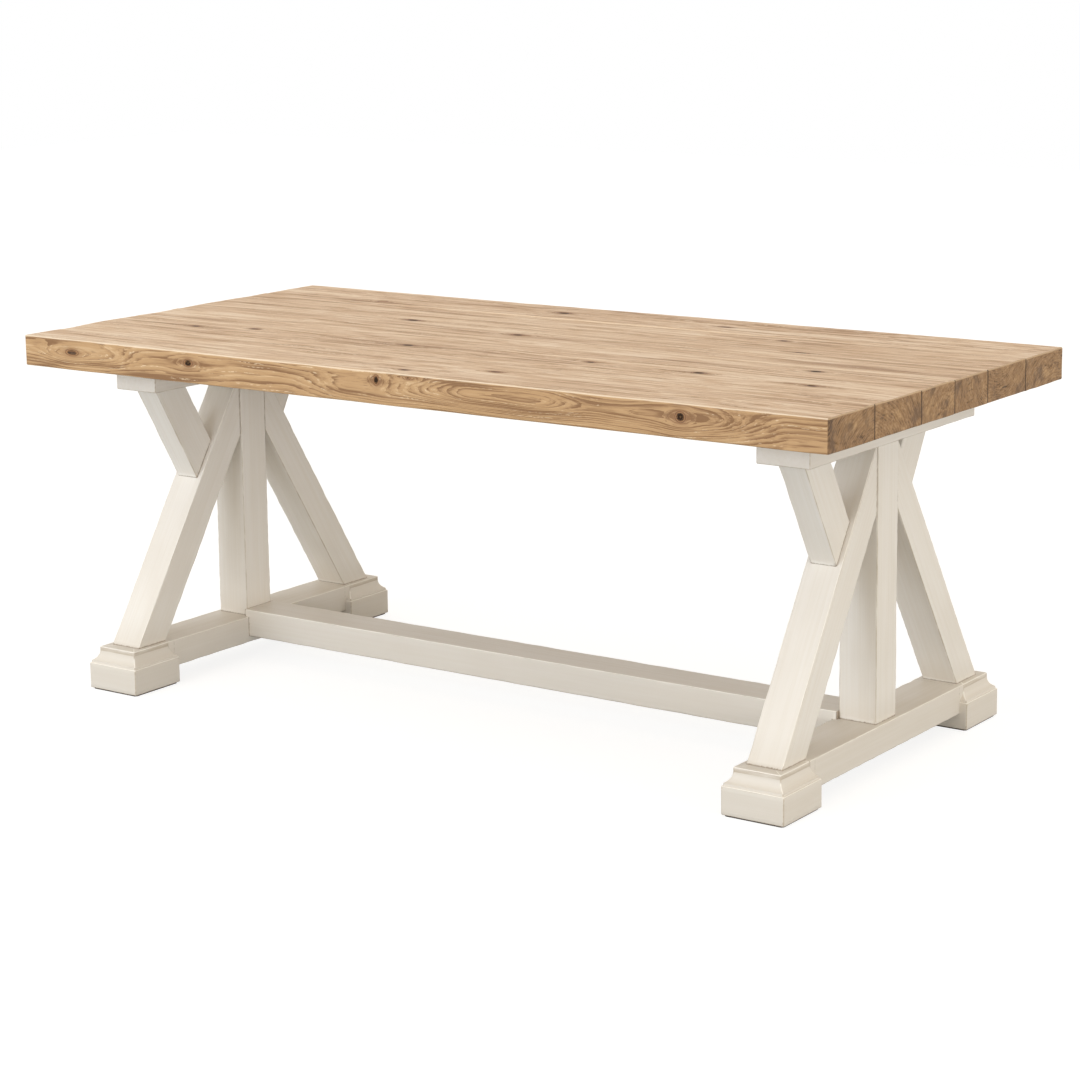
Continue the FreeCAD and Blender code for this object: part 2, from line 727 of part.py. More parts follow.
def make_fixings(side_name, side, places, masters):
    """The loose tenons, screws and pegs of one trestle, each kind as a group of separate solids."""
    screws = [(*screw_spot(plank, side), "screw_seat", "0") for plank in SCREWED_PLANKS]
    groups = (("leg_tenons", "loose_tenon", places["foot"] + places["post"], False),
              ("brace_tenons", "loose_tenon", places["brace_top"] + places["brace_foot"], False),
              ("bearer_screws", "screw", screws, False),
              ("stretcher_pegs", "peg", peg_places(), side > 0))
    for kind, master, spots, turned in groups:
        group = copies(f"{side_name}_{kind}_group", masters[master], spots)
        place(group, side, turned)
        keep(group, f"{side_name}_{kind}")


def make_table():
    fill_sheet()
    places = {end: loose_tenon_places(end) for end in ENDS}
    places["both"] = {joint: both_ends(spots, places["back"][joint])
                      for joint, spots in places["front"].items()}
    mortise = make_loose_mortise()
    mortises = {which: {joint: copies(f"{which}_{joint}_mortises", mortise, spots)
                        for joint, spots in found.items()} for which, found in places.items()}
    masters = {"loose_tenon": make_loose_tenon(), "screw": make_screw(), "peg": make_peg()}
    for index in range(1, PLANK_COUNT + 1):
        make_plank(index)
    for index in range(1, PLANK_COUNT):
        make_tongue(index)
    for side_name, side in (("left", -1), ("right", 1)):
        make_bearer(f"{side_name}_bearer", side, mortises["both"])
        make_post(f"{side_name}_post", side, mortises["both"])
        make_rail(f"{side_name}_base_rail", side)
        for end, turned in ENDS.items():
            make_leg(f"{side_name}_{end}_leg", side, turned, mortises[end])
            make_brace(f"{side_name}_{end}_brace", side, end, turned, mortises[end])
            make_foot(f"{side_name}_{end}_foot", side, turned, mortises[end])
            make_floor_pad(f"{side_name}_{end}_floor_pad", side, turned)
        make_fixings(side_name, side, places["both"], masters)
    make_stretcher()
    document.recompute()


def check_document():
    """Stop if any object failed, or if a sub-part has no valid shape."""
    failed = [item.Name for item in document.Objects if {"Invalid", "Error"} & set(item.State)]
    if failed:
        raise RuntimeError("failed objects: " + ", ".join(failed))
    for item in subparts:
        if item.Shape.isNull() or not item.Shape.isValid():
            raise RuntimeError(f"{item.Label} has no valid shape")


def write_parts():
    os.makedirs("parts", exist_ok=True)
    for item in subparts:
        item.Shape.exportStep(f"parts/{item.Label}.step")
    print(len(subparts), "sub-parts written")


make_table()
check_document()
write_parts()
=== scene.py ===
"""Trestle dining table: washed oak planks on two trestles in brushed antique-white paint.

Metres throughout: X runs along the top, Y across it to the back, Z up from the floor.
Every wooden member is a fine mesh laid over its solid, with worn arrises, and it carries what its finish
follows: the way the grain runs, how far the nearest arris and the nearest joint are, rings and knots.
"""
import math
import bpy
import numpy as np
from mathutils import Matrix, Vector


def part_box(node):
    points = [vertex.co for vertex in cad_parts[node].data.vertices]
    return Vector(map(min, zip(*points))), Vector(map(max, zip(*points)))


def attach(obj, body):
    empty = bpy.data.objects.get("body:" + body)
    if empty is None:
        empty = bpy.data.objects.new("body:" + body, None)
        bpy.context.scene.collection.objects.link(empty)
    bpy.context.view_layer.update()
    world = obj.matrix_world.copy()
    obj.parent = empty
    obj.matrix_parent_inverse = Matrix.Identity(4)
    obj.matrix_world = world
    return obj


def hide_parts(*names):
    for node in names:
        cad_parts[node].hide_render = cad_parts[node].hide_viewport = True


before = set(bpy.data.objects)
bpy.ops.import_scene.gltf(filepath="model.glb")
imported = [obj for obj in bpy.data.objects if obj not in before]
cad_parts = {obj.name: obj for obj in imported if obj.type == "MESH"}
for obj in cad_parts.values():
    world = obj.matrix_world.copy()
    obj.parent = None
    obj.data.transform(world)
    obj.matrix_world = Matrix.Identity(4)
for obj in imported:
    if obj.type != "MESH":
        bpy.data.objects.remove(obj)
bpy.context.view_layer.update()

MM = 0.001
BODY = "root"
SIDES = ("left", "right")
ENDS = {"front": -1, "back": 1}
PLANKS = range(1, 7)
# Stands for the distance to a joint where none is near.
FAR = 50 * MM

# Easing of the arrises, and how finely the surfaces are divided.
TOP_ARRIS = 3.2 * MM
JOINT_ARRIS = 2.2 * MM
MEMBER_ARRIS = 2.4 * MM
PLANK_STEP = 5.0 * MM
PLANK_CROSS_STEP = 4.2 * MM
PLANK_HEIGHT_STEP = 2.4 * MM
MEMBER_STEP = 9.0 * MM
# Edges that turn by more than this stay sharp.
SHARP_FROM = math.radians(40)
MOULDING_SHARP_FROM = math.radians(50)
# How far a cutter runs out past the face that it opens.
CUT_PAST = 5 * MM


# ---------------- sizes read from the frame

def low(node):
    return np.array(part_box(node)[0])


def high(node):
    return np.array(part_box(node)[1])


def middle_and_half(node):
    """The middle of a solid's box, and half its size."""
    return (low(node) + high(node)) / 2, (high(node) - low(node)) / 2


TRESTLE_X = {side: middle_and_half(f"{side}_post")[0][0] for side in SIDES}
BEARER_UNDERSIDE = low("left_bearer")[2]
TABLE_HEIGHT = high("top_plank_1")[2]
FOOT_HEIGHT = high("left_front_foot")[2]
POST_HALF = middle_and_half("left_post")[1][:2]


# ---------------- meshes

def ladder(length, step, easing):
    """Division of a side: close together at both ends, where it is eased, and even between them."""
    near = easing * np.array([0.0, 0.3, 0.6, 1.0, 1.7, 3.0])
    count = max(1, round((length - 2 * near[-1]) / step))
    middle = np.linspace(near[-1], length - near[-1], count + 1)
    return np.concatenate([near[:-1], middle, length - near[-2::-1]])


def block_shell(xs, ys, zs):
    """The six sides of a block as one closed grid. Returns its points and its outward quads."""
    shape = (len(xs), len(ys), len(zs))
    grid = np.stack(np.meshgrid(xs, ys, zs, indexing="ij"), axis=-1)
    skin = np.zeros(shape, bool)
    for axis in range(3):
        ends = [slice(None)] * 3
        ends[axis] = [0, -1]
        skin[tuple(ends)] = True
    index = np.full(shape, -1)
    index[skin] = np.arange(skin.sum())
    quads = []
    for axis in range(3):
        for end in (0, -1):
            sheet = index.take(end, axis=axis)
            corners = [sheet[:-1, :-1], sheet[1:, :-1], sheet[1:, 1:], sheet[:-1, 1:]]
            if (axis == 1) != (end == 0):
                corners.reverse()
            quads.append(np.stack(corners, axis=-1).reshape(-1, 4))
    return grid[skin], np.concatenate(quads)


def stacked_faces(count, levels):
    """Outward faces of a closed body whose points are loops of count points, one above the other."""
    here = np.arange(count)
    ring = np.stack([here, np.roll(here, -1), np.roll(here, -1) + count, here + count], axis=1)
    rings = np.concatenate([ring + level * count for level in range(levels - 1)])
    return [*rings, here[::-1], here + (levels - 1) * count]


def eased(points, half, radius, across=(True, True, True)):
    """Round a block about the origin. across says, for each axis, whether its arrises are eased."""
    inner = np.clip(points, -(half - radius[:, None]), half - radius[:, None])
    offset = (points - inner) * across
    reach = np.linalg.norm(offset, axis=1)
    scale = np.where(reach > 1e-12, radius / np.maximum(reach, 1e-12), 0)
    return np.where(across, inner + offset * scale[:, None], points)


def ripple(points, wavelength, seed, waves=5):
    """Smooth irregularity of about unit height. wavelength gives its length along each axis."""
    random = np.random.default_rng(seed)
    total = np.zeros(len(points))
    for _ in range(waves):
        turn = random.normal(size=3) * 2 * math.pi / np.array(wavelength)
        total += np.sin(points @ turn + random.uniform(0, 2 * math.pi))
    return total / math.sqrt(waves / 2)


def worn(radius, points, wavelength, seed):
    """An arris radius that use has made uneven."""
    return radius * np.clip(1 + 0.3 * ripple(points, wavelength, seed), 0.5, 1.8)


def make_mesh(name, points, faces):
    mesh = bpy.data.meshes.new(name)
    mesh.from_pydata(np.asarray(points).tolist(), [], [list(map(int, face)) for face in faces])
    mesh.shade_smooth()
    piece = bpy.data.objects.new(name, mesh)
    bpy.context.scene.collection.objects.link(piece)
    return piece


def give(piece, **fields):
    """Store a value, or a vector, for each point of a piece under each name."""
    for name, values in fields.items():
        values = np.asarray(values, np.float32)
        kind, field = ("FLOAT", "value") if values.ndim == 1 else ("FLOAT_VECTOR", "vector")
        piece.data.attributes.new(name, kind, "POINT").data.foreach_set(field, values.ravel())


def points_of(piece):
    points = np.empty(len(piece.data.vertices) * 3, np.float32)
    piece.data.vertices.foreach_get("co", points)
    return points.reshape(-1, 3).astype(float)


def settle(piece):
    """Turn a piece's modifiers into plain mesh, smooth but for its sharp edges."""
    shown = piece.evaluated_get(bpy.context.evaluated_depsgraph_get())
    mesh = bpy.data.meshes.new_from_object(shown)
    piece.modifiers.clear()
    piece.data = mesh
    mesh.shade_smooth()
    mesh.set_sharp_from_angle(angle=SHARP_FROM)


def cut_out(piece, cutters):
    """Cut closed meshes out of a piece, and delete them."""
    for cutter in cutters:
        modifier = piece.modifiers.new("cut", "BOOLEAN")
        modifier.operation = "DIFFERENCE"
        modifier.object = cutter
        modifier.solver = "EXACT"
    if cutters:
        settle(piece)
    for cutter in cutters:
        bpy.data.objects.remove(cutter)


def finish_piece(piece, nodes, material):
    piece.data.materials.clear()
    piece.data.materials.append(material)
    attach(piece, BODY)
    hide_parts(*nodes)


# ---------------- node helpers

def linear(colour):
    """An sRGB hex colour as linear RGBA."""
    parts = [int(colour[i:i + 2], 16) / 255 for i in (1, 3, 5)]
    return [part / 12.92 if part <= 0.04045 else ((part + 0.055) / 1.055) ** 2.4 for part in parts] + [1.0]


def connect(node, inputs):
    """Fill a node's inputs. Each gets a value, a hex colour, or the output or outputs that it is linked
    from."""
    for key, value in inputs.items():
        for source in value if isinstance(value, list) else [value]:
            if isinstance(source, bpy.types.NodeSocket):
                node.id_data.links.new(source, node.inputs[key])
            else:
                node.inputs[key].default_value = linear(source) if isinstance(source, str) else source


def add(owner, kind, inputs, output=0, **settings):
    """Add a node to a material, the world or a tree, and return one of its outputs. A kind that doesn't
    name its family is a shader node."""
    tree = getattr(owner, "node_tree", owner)
    node = tree.nodes.new(kind if "Node" in kind else "ShaderNode" + kind)
    for key, value in settings.items():
        setattr(node, key, value)
    connect(node, inputs)
    return node.outputs[output] if node.outputs else None


def new_material(name):
    material = bpy.data.materials.new(name)
    material.use_nodes = True
    return material


def shade(owner, **inputs):
    """Fill the inputs of a material's or the world's own shader. An underscore stands for a space."""
    shader = next(node for node in owner.node_tree.nodes if node.type in ("BSDF_PRINCIPLED", "BACKGROUND"))
    connect(shader, {name.replace("_", " "): value for name, value in inputs.items()})


def streaks(material, grain, length, width, seed, detail=3.0):
    """Marks drawn out along the grain. length and width are their size in metres."""
    scale = (1 / length, 1 / width, 1 / width)
    place = add(material, "Mapping", {"Vector": grain, "Scale": scale, "Location": (seed, seed, seed)})
    return add(material, "TexNoise", {"Vector": place, "Scale": 1.0, "Detail": detail, "Roughness": 0.6})


def together(material, start, *shares):
    """A start value with shares of several fields added to it."""
    for field, weight in shares:
        start = add(material, "Math", {0: field, 1: weight, 2: start}, operation="MULTIPLY_ADD")
    return start


def coats(material, colour, *layers):
    """Lay coats over a colour. Each has a field, its value where the coat starts and where it is full, the
    coat's strength there and its colour."""
    for field, start, full, strength, tint in layers:
        amount = add(material, "MapRange", {0: field, 1: start, 2: full, 4: strength},
                     interpolation_type="SMOOTHSTEP")
        colour = add(material, "Mix", {0: amount, 6: colour, 7: tint}, 2, data_type="RGBA")
    return colour


# ---------------- finishes

# Growth rings are drawn wider apart than real ones, so that they show.
RING_SPACING = 5.5 * MM


def washed_oak():
    """Wire-brushed European oak with a pale matt oil. It gives long soft streaks, porous rings that stand
    out as fine lines, knots with dark hearts, pale arrises that are worn and partly a painted highlight,
    sides browner than the top, whose paler colour is partly a painted reflection, and dull brown end grain."""
    material = new_material("washed_oak")
    names = ("knot", "streak", "crack", "end_grain", "arris", "seam")
    knot, streak, crack, end, arris, seam = (add(material, "Attribute", {}, "Fac", attribute_name=name)
                                             for name in names)
    grain = add(material, "Attribute", {}, "Vector", attribute_name="grain")
    facing = add(material, "SeparateXYZ", {0: add(material, "NewGeometry", {}, "Normal")}, "Z")
    up = add(material, "MapRange", {0: facing, 1: 0.5, 2: 0.9})
    ring = add(material, "SeparateXYZ", {0: grain}, "Y")
    # The long sides are cut more squarely across the rings, so that their marks are finer. On the ends the
    # marks run along the rings.
    finer = add(material, "MapRange", {0: together(material, 0.0, (up, 1.0), (end, 1.0)), 3: 1.8, 4: 1.0})
    round_it = together(material, finer, (end, -0.5))
    stretch = add(material, "CombineXYZ", {0: 1.0, 1: finer, 2: round_it})
    grain = add(material, "VectorMath", {0: grain, 1: stretch}, operation="MULTIPLY")

    # From a board's tone down to pores: widths of 200, 40, 14, 6, 2.6 and 1 mm across the rings.
    tone = streaks(material, grain, 2.4, 200 * MM, 3, 1.0)
    cloud = streaks(material, grain, 0.9, 40 * MM, 0)
    stripe = streaks(material, grain, 0.4, 14 * MM, 7)
    fibre = streaks(material, grain, 0.16, 6 * MM, 11)
    hair = streaks(material, grain, 90 * MM, 2.6 * MM, 5)
    pores = streaks(material, grain, 20 * MM, 1 * MM, 9, 2.0)

    # Each growth ring starts with a line of open pores and fades outwards.
    turns = together(material, 0.0, (ring, 1 / RING_SPACING), (fibre, 1.0))
    through = add(material, "Math", {0: turns}, operation="FRACT")
    line, shown = (add(material, "MapRange", {0: field, 1: start, 2: full})
                   for field, start, full in ((through, 0.7, 0.0), (stripe, 0.3, 0.55)))
    porous = together(material, 0.0, (line, shown))
    mottle = together(material, -1.87, (tone, 0.45), (cloud, 0.8), (stripe, 0.7), (fibre, 1.0), (hair, 0.8))
    dark = together(material, 0.35, (mottle, together(material, 0.85, (up, 1.05), (end, 0.1))),
                    (porous, together(material, 0.5, (up, -0.36), (end, -0.16))), (streak, 0.62))

    # Colours for the top, the long sides and the end grain. The end grain is darker in itself. The top's
    # paler colours are partly the wood's own tone and partly a painted reflection of the bright surroundings.
    def by_face(top, side, across):
        colour = add(material, "Mix", {0: up, 6: side, 7: top}, 2, data_type="RGBA")
        return add(material, "Mix", {0: end, 6: colour, 7: across}, 2, data_type="RGBA")

    colour = coats(material, by_face("#E8D2B9", "#DABB92", "#B59268"),
                   (dark, 0.0, 0.5, 1.0, by_face("#D3B494", "#BE996E", "#93714C")),
                   (dark, 0.5, 1.0, 1.0, by_face("#A58261", "#896542", "#543D28")))

    # Open pores in dark dashes and lime left in others in rows of pale ones, drawn 2.5 and 4 mm wide so that
    # they show.
    open_pores = streaks(material, grain, 36 * MM, 2.5 * MM, 17, 2.0)
    row = streaks(material, grain, 0.3, 6 * MM, 13, 1.0)
    dash = streaks(material, grain, 11 * MM, 4 * MM, 2, 2.0)
    row, dash = (add(material, "MapRange", {0: field, 1: start, 2: full})
                 for field, start, full in ((row, 0.61, 0.68), (dash, 0.48, 0.6)))
    lime = together(material, 0.0, (row, dash), (end, -0.5))
    stain = streaks(material, add(material, "TexCoord", {}, "Object"), 45 * MM, 45 * MM, 4, 6.0)
    stained = together(material, 0.0, (stain, end))
    colour = coats(material, colour, (open_pores, 0.6, 0.72, 0.5, by_face("#9C7852", "#8A6743", "#4C3725")),
                   (lime, 0.0, 1.0, 0.65, by_face("#F3E4CC", "#EAD3B0", "#BFA281")),
                   (stained, 0.5, 0.66, 0.65, "#573F2B"))

    # Knots: a faint halo, a ragged body with its own rings, and a black heart that is brown in its middle.
    own = add(material, "Math", {0: together(material, 0.0, (knot, 3.2)), 1: 0.5}, operation="PINGPONG")
    ragged = together(material, -0.65, (knot, 1.0), (fibre, 0.7), (hair, 0.6))
    body = coats(material, "#6B482E", (own, 0.1, 0.45, 1.0, "#A57A50"))
    colour = coats(material, colour, (ragged, 2.2, 1.1, 0.3, "#946C47"), (ragged, 1.25, 0.85, 0.85, body),
                   (ragged, 0.72, 0.46, 1.0, "#33251A"), (ragged, 0.26, 0.08, 0.7, "#755A3E"))

    # Arrises are pale from wear and partly as a painted highlight, and dirt darkens the seams of the end
    # grain and its checks.
    oak_wear_and_highlight_to = together(material, 0.0, (arris, 1.0), (fibre, -3.6 * MM), (hair, -2.0 * MM))
    dirty_to = together(material, 0.0, (seam, 1.0), (hair, -2.0 * MM), (end, -4.0 * MM))
    colour = coats(material, colour,
                   (oak_wear_and_highlight_to, 0.4 * MM, -1.8 * MM, 0.75, by_face("#F6E9D4", "#F3E2C8", "#CDB18F")),
                   (dirty_to, -2.6 * MM, -4.2 * MM, 0.9, "#3E2D20"), (crack, 0.0, 1.0, 1.0, "#35261A"))
    # Broken knot hearts shine less than the oiled wood.
    shade(material, Base_Color=colour, IOR=1.45,
          Roughness=add(material, "MapRange", {0: fibre, 1: 0.3, 2: 0.7, 3: 0.5, 4: 0.68}),
          Specular_IOR_Level=add(material, "MapRange", {0: knot, 1: 0.4, 2: 0.9, 3: 0.06, 4: 0.5}))
    height = together(material, 0.0, (porous, -0.6), (pores, -1.0))
    shade(material, Normal=add(material, "Bump", {"Height": height, "Distance": 0.35 * MM, "Strength": 0.8}))
    return material


def antique_paint():
    """Chalky off-white furniture paint over hardwood, laid on with a brush and worn back at the arrises. It
    gives faint lengthwise strokes, a near-white painted highlight on arrises that face up, brown worn-through
    arrises elsewhere, brown glaze left in the joints, and a darker tone near the floor that is painted shade."""
    material = new_material("antique_white_paint")
    arris, joint = (add(material, "Attribute", {}, "Fac", attribute_name=name) for name in ("arris", "joint"))
    grain = add(material, "Attribute", {}, "Vector", attribute_name="grain")
    facing = add(material, "SeparateXYZ", {0: add(material, "NewGeometry", {}, "Normal")}, "Z")
    # Brush marks 7 mm wide, bristle lines 1.5 mm wide, uneven cover over 80 mm, and a ragged edge over 6 mm
    # to the worn arrises, their painted highlight and the glaze.
    stroke = streaks(material, grain, 0.4, 7 * MM, 1)
    bristle = streaks(material, grain, 0.12, 1.5 * MM, 2, 2.0)
    cover = streaks(material, grain, 0.25, 80 * MM, 7, 2.0)
    ragged = streaks(material, grain, 45 * MM, 6 * MM, 9)
    # At the arrises the paint is worn through to brown, and arrises that face up get a near-white painted
    # highlight instead.
    paint_wear_and_highlight_to = together(material, 0.0, (arris, 1.0), (ragged, -3.0 * MM))
    worn_through_and_highlit = coats(material, "#B3A48E", (facing, 0.15, 0.5, 1.0, "#FFFCF4"))
    left_in = together(material, 0.0, (joint, 1.0), (ragged, -5.0 * MM))
    height = add(material, "SeparateXYZ", {0: add(material, "TexCoord", {}, "Object")}, "Z")
    # Below 160 mm the paint darkens towards the floor: painted shade.
    colour = coats(material, "#ECE8E1",
                   (stroke, 0.3, 0.7, 1.0, "#E8E3DA"), (cover, 0.42, 0.75, 0.6, "#E3DDD3"),
                   (bristle, 0.58, 0.75, 0.22, "#D6CEC1"), (height, 160 * MM, 80 * MM, 0.45, "#CFC6B8"),
                   (paint_wear_and_highlight_to, 0.8 * MM, -1.0 * MM, 0.7, worn_through_and_highlit),
                   (left_in, 0.6 * MM, -2.2 * MM, 0.75, "#86725B"))
    shade(material, Base_Color=colour, IOR=1.47,
          Roughness=add(material, "MapRange", {0: stroke, 1: 0.3, 2: 0.7, 3: 0.44, 4: 0.56}))
    relief = together(material, 0.0, (bristle, 0.5), (stroke, 1.0))
    shade(material, Normal=add(material, "Bump", {"Height": relief, "Distance": 0.2 * MM, "Strength": 0.3}))
    return material


def bare_beech():
    """Planed steamed beech, unfinished. It gives an even pinkish tan with tiny darker flecks."""
    material = new_material("bare_beech")
    place = add(material, "TexCoord", {}, "Object")
    fleck = streaks(material, place, 3 * MM, 1.2 * MM, 4, 2.0)
    band = streaks(material, place, 40 * MM, 8 * MM, 0)
    colour = coats(material, "#D8B48C", (band, 0.3, 0.7, 1.0, "#C69F76"), (fleck, 0.62, 0.72, 0.6, "#9E7850"))
    shade(material, Base_Color=colour, Roughness=0.6)
    shade(material, Normal=add(material, "Bump", {"Height": fleck, "Distance": 0.1 * MM, "Strength": 0.5}))
    return material


def zinc_plate():
    """Zinc-plated steel. It gives a grey, slightly blotched shine."""
    material = new_material("zinc_plated_steel")
    blotch = streaks(material, add(material, "TexCoord", {}, "Object"), 2.5 * MM, 2.5 * MM, 0)
    shade(material, Base_Color=coats(material, "#A9ABAE", (blotch, 0.3, 0.7, 1.0, "#C4C5C4")), Metallic=1.0,
          Roughness=add(material, "MapRange", {0: blotch, 1: 0.3, 2: 0.7, 3: 0.3, 4: 0.48}))
    return material


def pressed_felt():
    """Dark brown pressed wool felt. It gives a matt fuzzy line under each foot, dark enough that it is partly
    a painted contact shadow.
    """
    material = new_material("pressed_felt")
    fuzz = streaks(material, add(material, "TexCoord", {}, "Object"), 1.1 * MM, 1.1 * MM, 0, 4.0)
    shade(material, Base_Color=coats(material, "#2E2621", (fuzz, 0.3, 0.7, 1.0, "#5A4B40")), Roughness=0.95)
    shade(material, Normal=add(material, "Bump", {"Height": fuzz, "Distance": 0.5 * MM}))
    return material


# ---------------- oak top

# Knots of the top face: x, y, half length and half width in millimetres, and how open the heart is.
TOP_KNOTS = [
    (-739, -187, 15, 9, 0.6), (-599, -156, 16, 10, 0.4), (-392, 122, 20, 11, 1), (-178, -170, 20, 10, 0.8),
    (-66, 57, 17, 11, 0.6), (265, -164, 14, 8, 1), (-172, 377, 20, 11, 0.7), (554, 141, 24, 12, 0.9),
    (449, 263, 14, 8, 0.5), (517, -170, 18, 10, 1), (699, -46, 18, 9, 0.6), (772, -190, 15, 9, 0.8),
    (242, 375, 20, 8, 0.6), (-640, 330, 14, 9, 0.2), (15, -428, 14, 8, 0.7), (179, -357, 18, 8, 0.4),
]
# Dark weathered streaks of the top face, and of the front edge: x, y or drop below the top, half length,
# half width and strength, in millimetres.
TOP_STREAKS = [
    (-390, 250, 130, 9, 0.7), (-648, -71, 110, 8, 0.6), (-373, -293, 100, 9, 0.8), (400, -64, 120, 7, 0.9),
    (-133, 450, 160, 9, 0.5), (505, 254, 150, 8, 0.7), (752, 43, 90, 8, 0.7), (-780, -193, 120, 8, 0.5),
    (60, 230, 200, 8, 0.6), (300, 90, 170, 7, 0.7), (120, -100, 160, 8, 0.5), (620, 330, 140, 9, 0.6),
    (-520, 380, 160, 9, 0.5), (-250, -30, 180, 8, 0.5), (850, -280, 70, 7, 0.6),
]
EDGE_KNOTS = [(-829, 27, 20, 8, 0.35), (-505, 23, 13, 9, 1), (-22, 17, 8, 12, 1), (665, 25, 12, 11, 1),
              (56, 7, 8, 3, 1)]
EDGE_STREAKS = [(-900, 55, 50, 5, 0.7), (-720, 48, 70, 4, 0.5), (-560, 55, 90, 6, 1.0), (-860, 8, 60, 6, 0.4),
                (-330, 12, 120, 4, 0.5), (140, 8, 160, 4, 0.6), (330, 42, 160, 6, 0.6), (800, 12, 90, 4, 0.6),
                (-80, 46, 140, 5, 0.5), (900, 32, 420, 60, 0.35)]
# Arches in the front edge's grain: x of the tip, drop, length of the run-out to the left, half height and
# how far the rings are pushed, in millimetres.
EDGE_ARCHES = [(570, 26, 230, 20, 58), (890, 27, 190, 18, 40), (-620, 28, 120, 14, 22),
               (150, 40, 150, 16, 22)]
# Where each plank's heart lies from its own middle, in millimetres across and up. It is outside the plank,
# so that the rings cross the top face as long lines.
HEARTS = {1: (130, -160), 2: (-110, -90), 3: (120, -80), 4: (125, 62), 5: (-60, 130), 6: (50, -150)}
RING_WANDER, RING_FINE_WANDER = 5 * MM, 0.8 * MM
# Metres along the rings for each radian round the heart.
WAY_ROUND = 0.15
KNOT_RINGS = 11 * MM
KNOT_DEPTH = 26 * MM
# How far across the grain a knot turns the rings, in its own half widths.
KNOT_REACH = 1.5
# Relief: the crown and how far down it fades out, the hollow hearts of knots above and at the sides, and the
# checks. The pale band of wear and painted highlight at the arrises of the joints is narrower by this.
CROWN, CROWN_FADE = 0.4 * MM, 6 * MM
HEART_DEPTH, SIDE_HEART_DEPTH = 1.3 * MM, 1.2 * MM
CHECK_DEPTH, CHECK_WIDTH, CHECK_WANDER, CHECK_FADE = 2.4 * MM, 1.3 * MM, 1.5 * MM, 3 * MM
CHECK_LENGTHS = (34 * MM, 20 * MM, 9 * MM, 6 * MM)
LESS_WORN_AND_HIGHLIT = 1.2 * MM


def smooth_step(value):
    value = np.clip(value, 0, 1)
    return value * value * (3 - 2 * value)


def ring_distance(plank, world, middle):
    """Distance from a plank's heart, with the slow wander of a real tree, and the way round the heart."""
    across, up = (value * MM for value in HEARTS[plank])
    heart_y, heart_z = middle[1] + across, middle[2] + up
    y, z = world[:, 1] - heart_y, world[:, 2] - heart_z
    ring = np.hypot(y, z) + RING_WANDER * ripple(world, (0.8, 0.3, 0.25), 10 + plank)
    ring += RING_FINE_WANDER * ripple(world, (0.16, 0.07, 0.06), 50 + plank)
    return ring, WAY_ROUND * np.arctan2(z, -math.copysign(1, across) * y)


def grow_knots(marks, along, aside, depth, ring):
    """Shape the wood round knots that open on a face. The rings flow round each one, and close to it they
    run in circles. Returns them with closeness (1 at a knot's rim, 0 at an open heart) and the dark streaks
    that run out along the grain."""
    closeness = np.full(len(along), 4.0)
    streak = np.zeros(len(along))
    for place, offset, length, width, heart in marks:
        run, side = (along - place * MM) / (length * MM), (aside - offset * MM) / (width * MM)
        deep = (depth / KNOT_DEPTH) ** 2
        far = np.sqrt(run ** 2 + side ** 2 + deep)
        closeness = np.minimum(closeness, np.maximum(far, 1 - heart))
        flow = np.sqrt((run / 2) ** 2 + side ** 2 + deep)
        here = ring[far <= far.min() + 0.6].mean()
        ring = here + (ring - here) * (1 - (KNOT_REACH / np.maximum(flow, KNOT_REACH)) ** 2)
        ring = ring - KNOT_RINGS * np.clip(KNOT_REACH - flow, 0, None)
        streak = np.maximum(streak, heart * np.exp(-0.5 * ((run / 3) ** 2 + (side / 0.5) ** 2 + deep)))
    return ring, closeness, streak


def stain_streaks(marks, along, aside, depth):
    """Dark weathered streaks on a face."""
    streak = np.zeros(len(along))
    deep = (depth / KNOT_DEPTH) ** 2
    for place, offset, length, width, strength in marks:
        run, side = (along - place * MM) / (length * MM), (aside - offset * MM) / (width * MM)
        side = side + 0.5 * np.sin(run * 2.3 + place)
        streak = np.maximum(streak, strength * np.exp(-0.5 * (run ** 2 + side ** 2 + deep)))
    return streak


def plank_fields(plank, world, middle, half):
    """Grain, knots and dark streaks at points of a plank."""
    x, y, z = world.T
    drop = TABLE_HEIGHT - z
    below = np.maximum(drop, 0)
    ring, way_round = ring_distance(plank, world, middle)
    knots, marks = ([mark for mark in kind if abs(mark[1] * MM - middle[1]) < half[1]]
                    for kind in (TOP_KNOTS, TOP_STREAKS))
    ring, knot, streak = grow_knots(knots, x, y, below, ring)
    streak = np.maximum(streak, stain_streaks(marks, x, y, below))
    if plank == 1:
        depth = np.maximum(y - middle[1] + half[1], 0)
        for tip, level, length, height, reach in np.array(EDGE_ARCHES) * MM:
            swell = smooth_step((tip - x) / length) * smooth_step((x - tip + 2.6 * length) / length)
            ring = ring + reach * swell * np.exp(-0.5 * (((drop - level) / height) ** 2
                                                         + (depth / KNOT_DEPTH) ** 2))
        ring, edge_knot, edge_streak = grow_knots(EDGE_KNOTS, x, drop, depth, ring)
        knot = np.minimum(knot, edge_knot)
        streak = np.maximum.reduce([streak, edge_streak, stain_streaks(EDGE_STREAKS, x, drop, depth)])
    grain = np.stack([x, ring, way_round], axis=1) + np.array([3.1, 0.7, 1.3]) * plank
    return grain, knot, streak


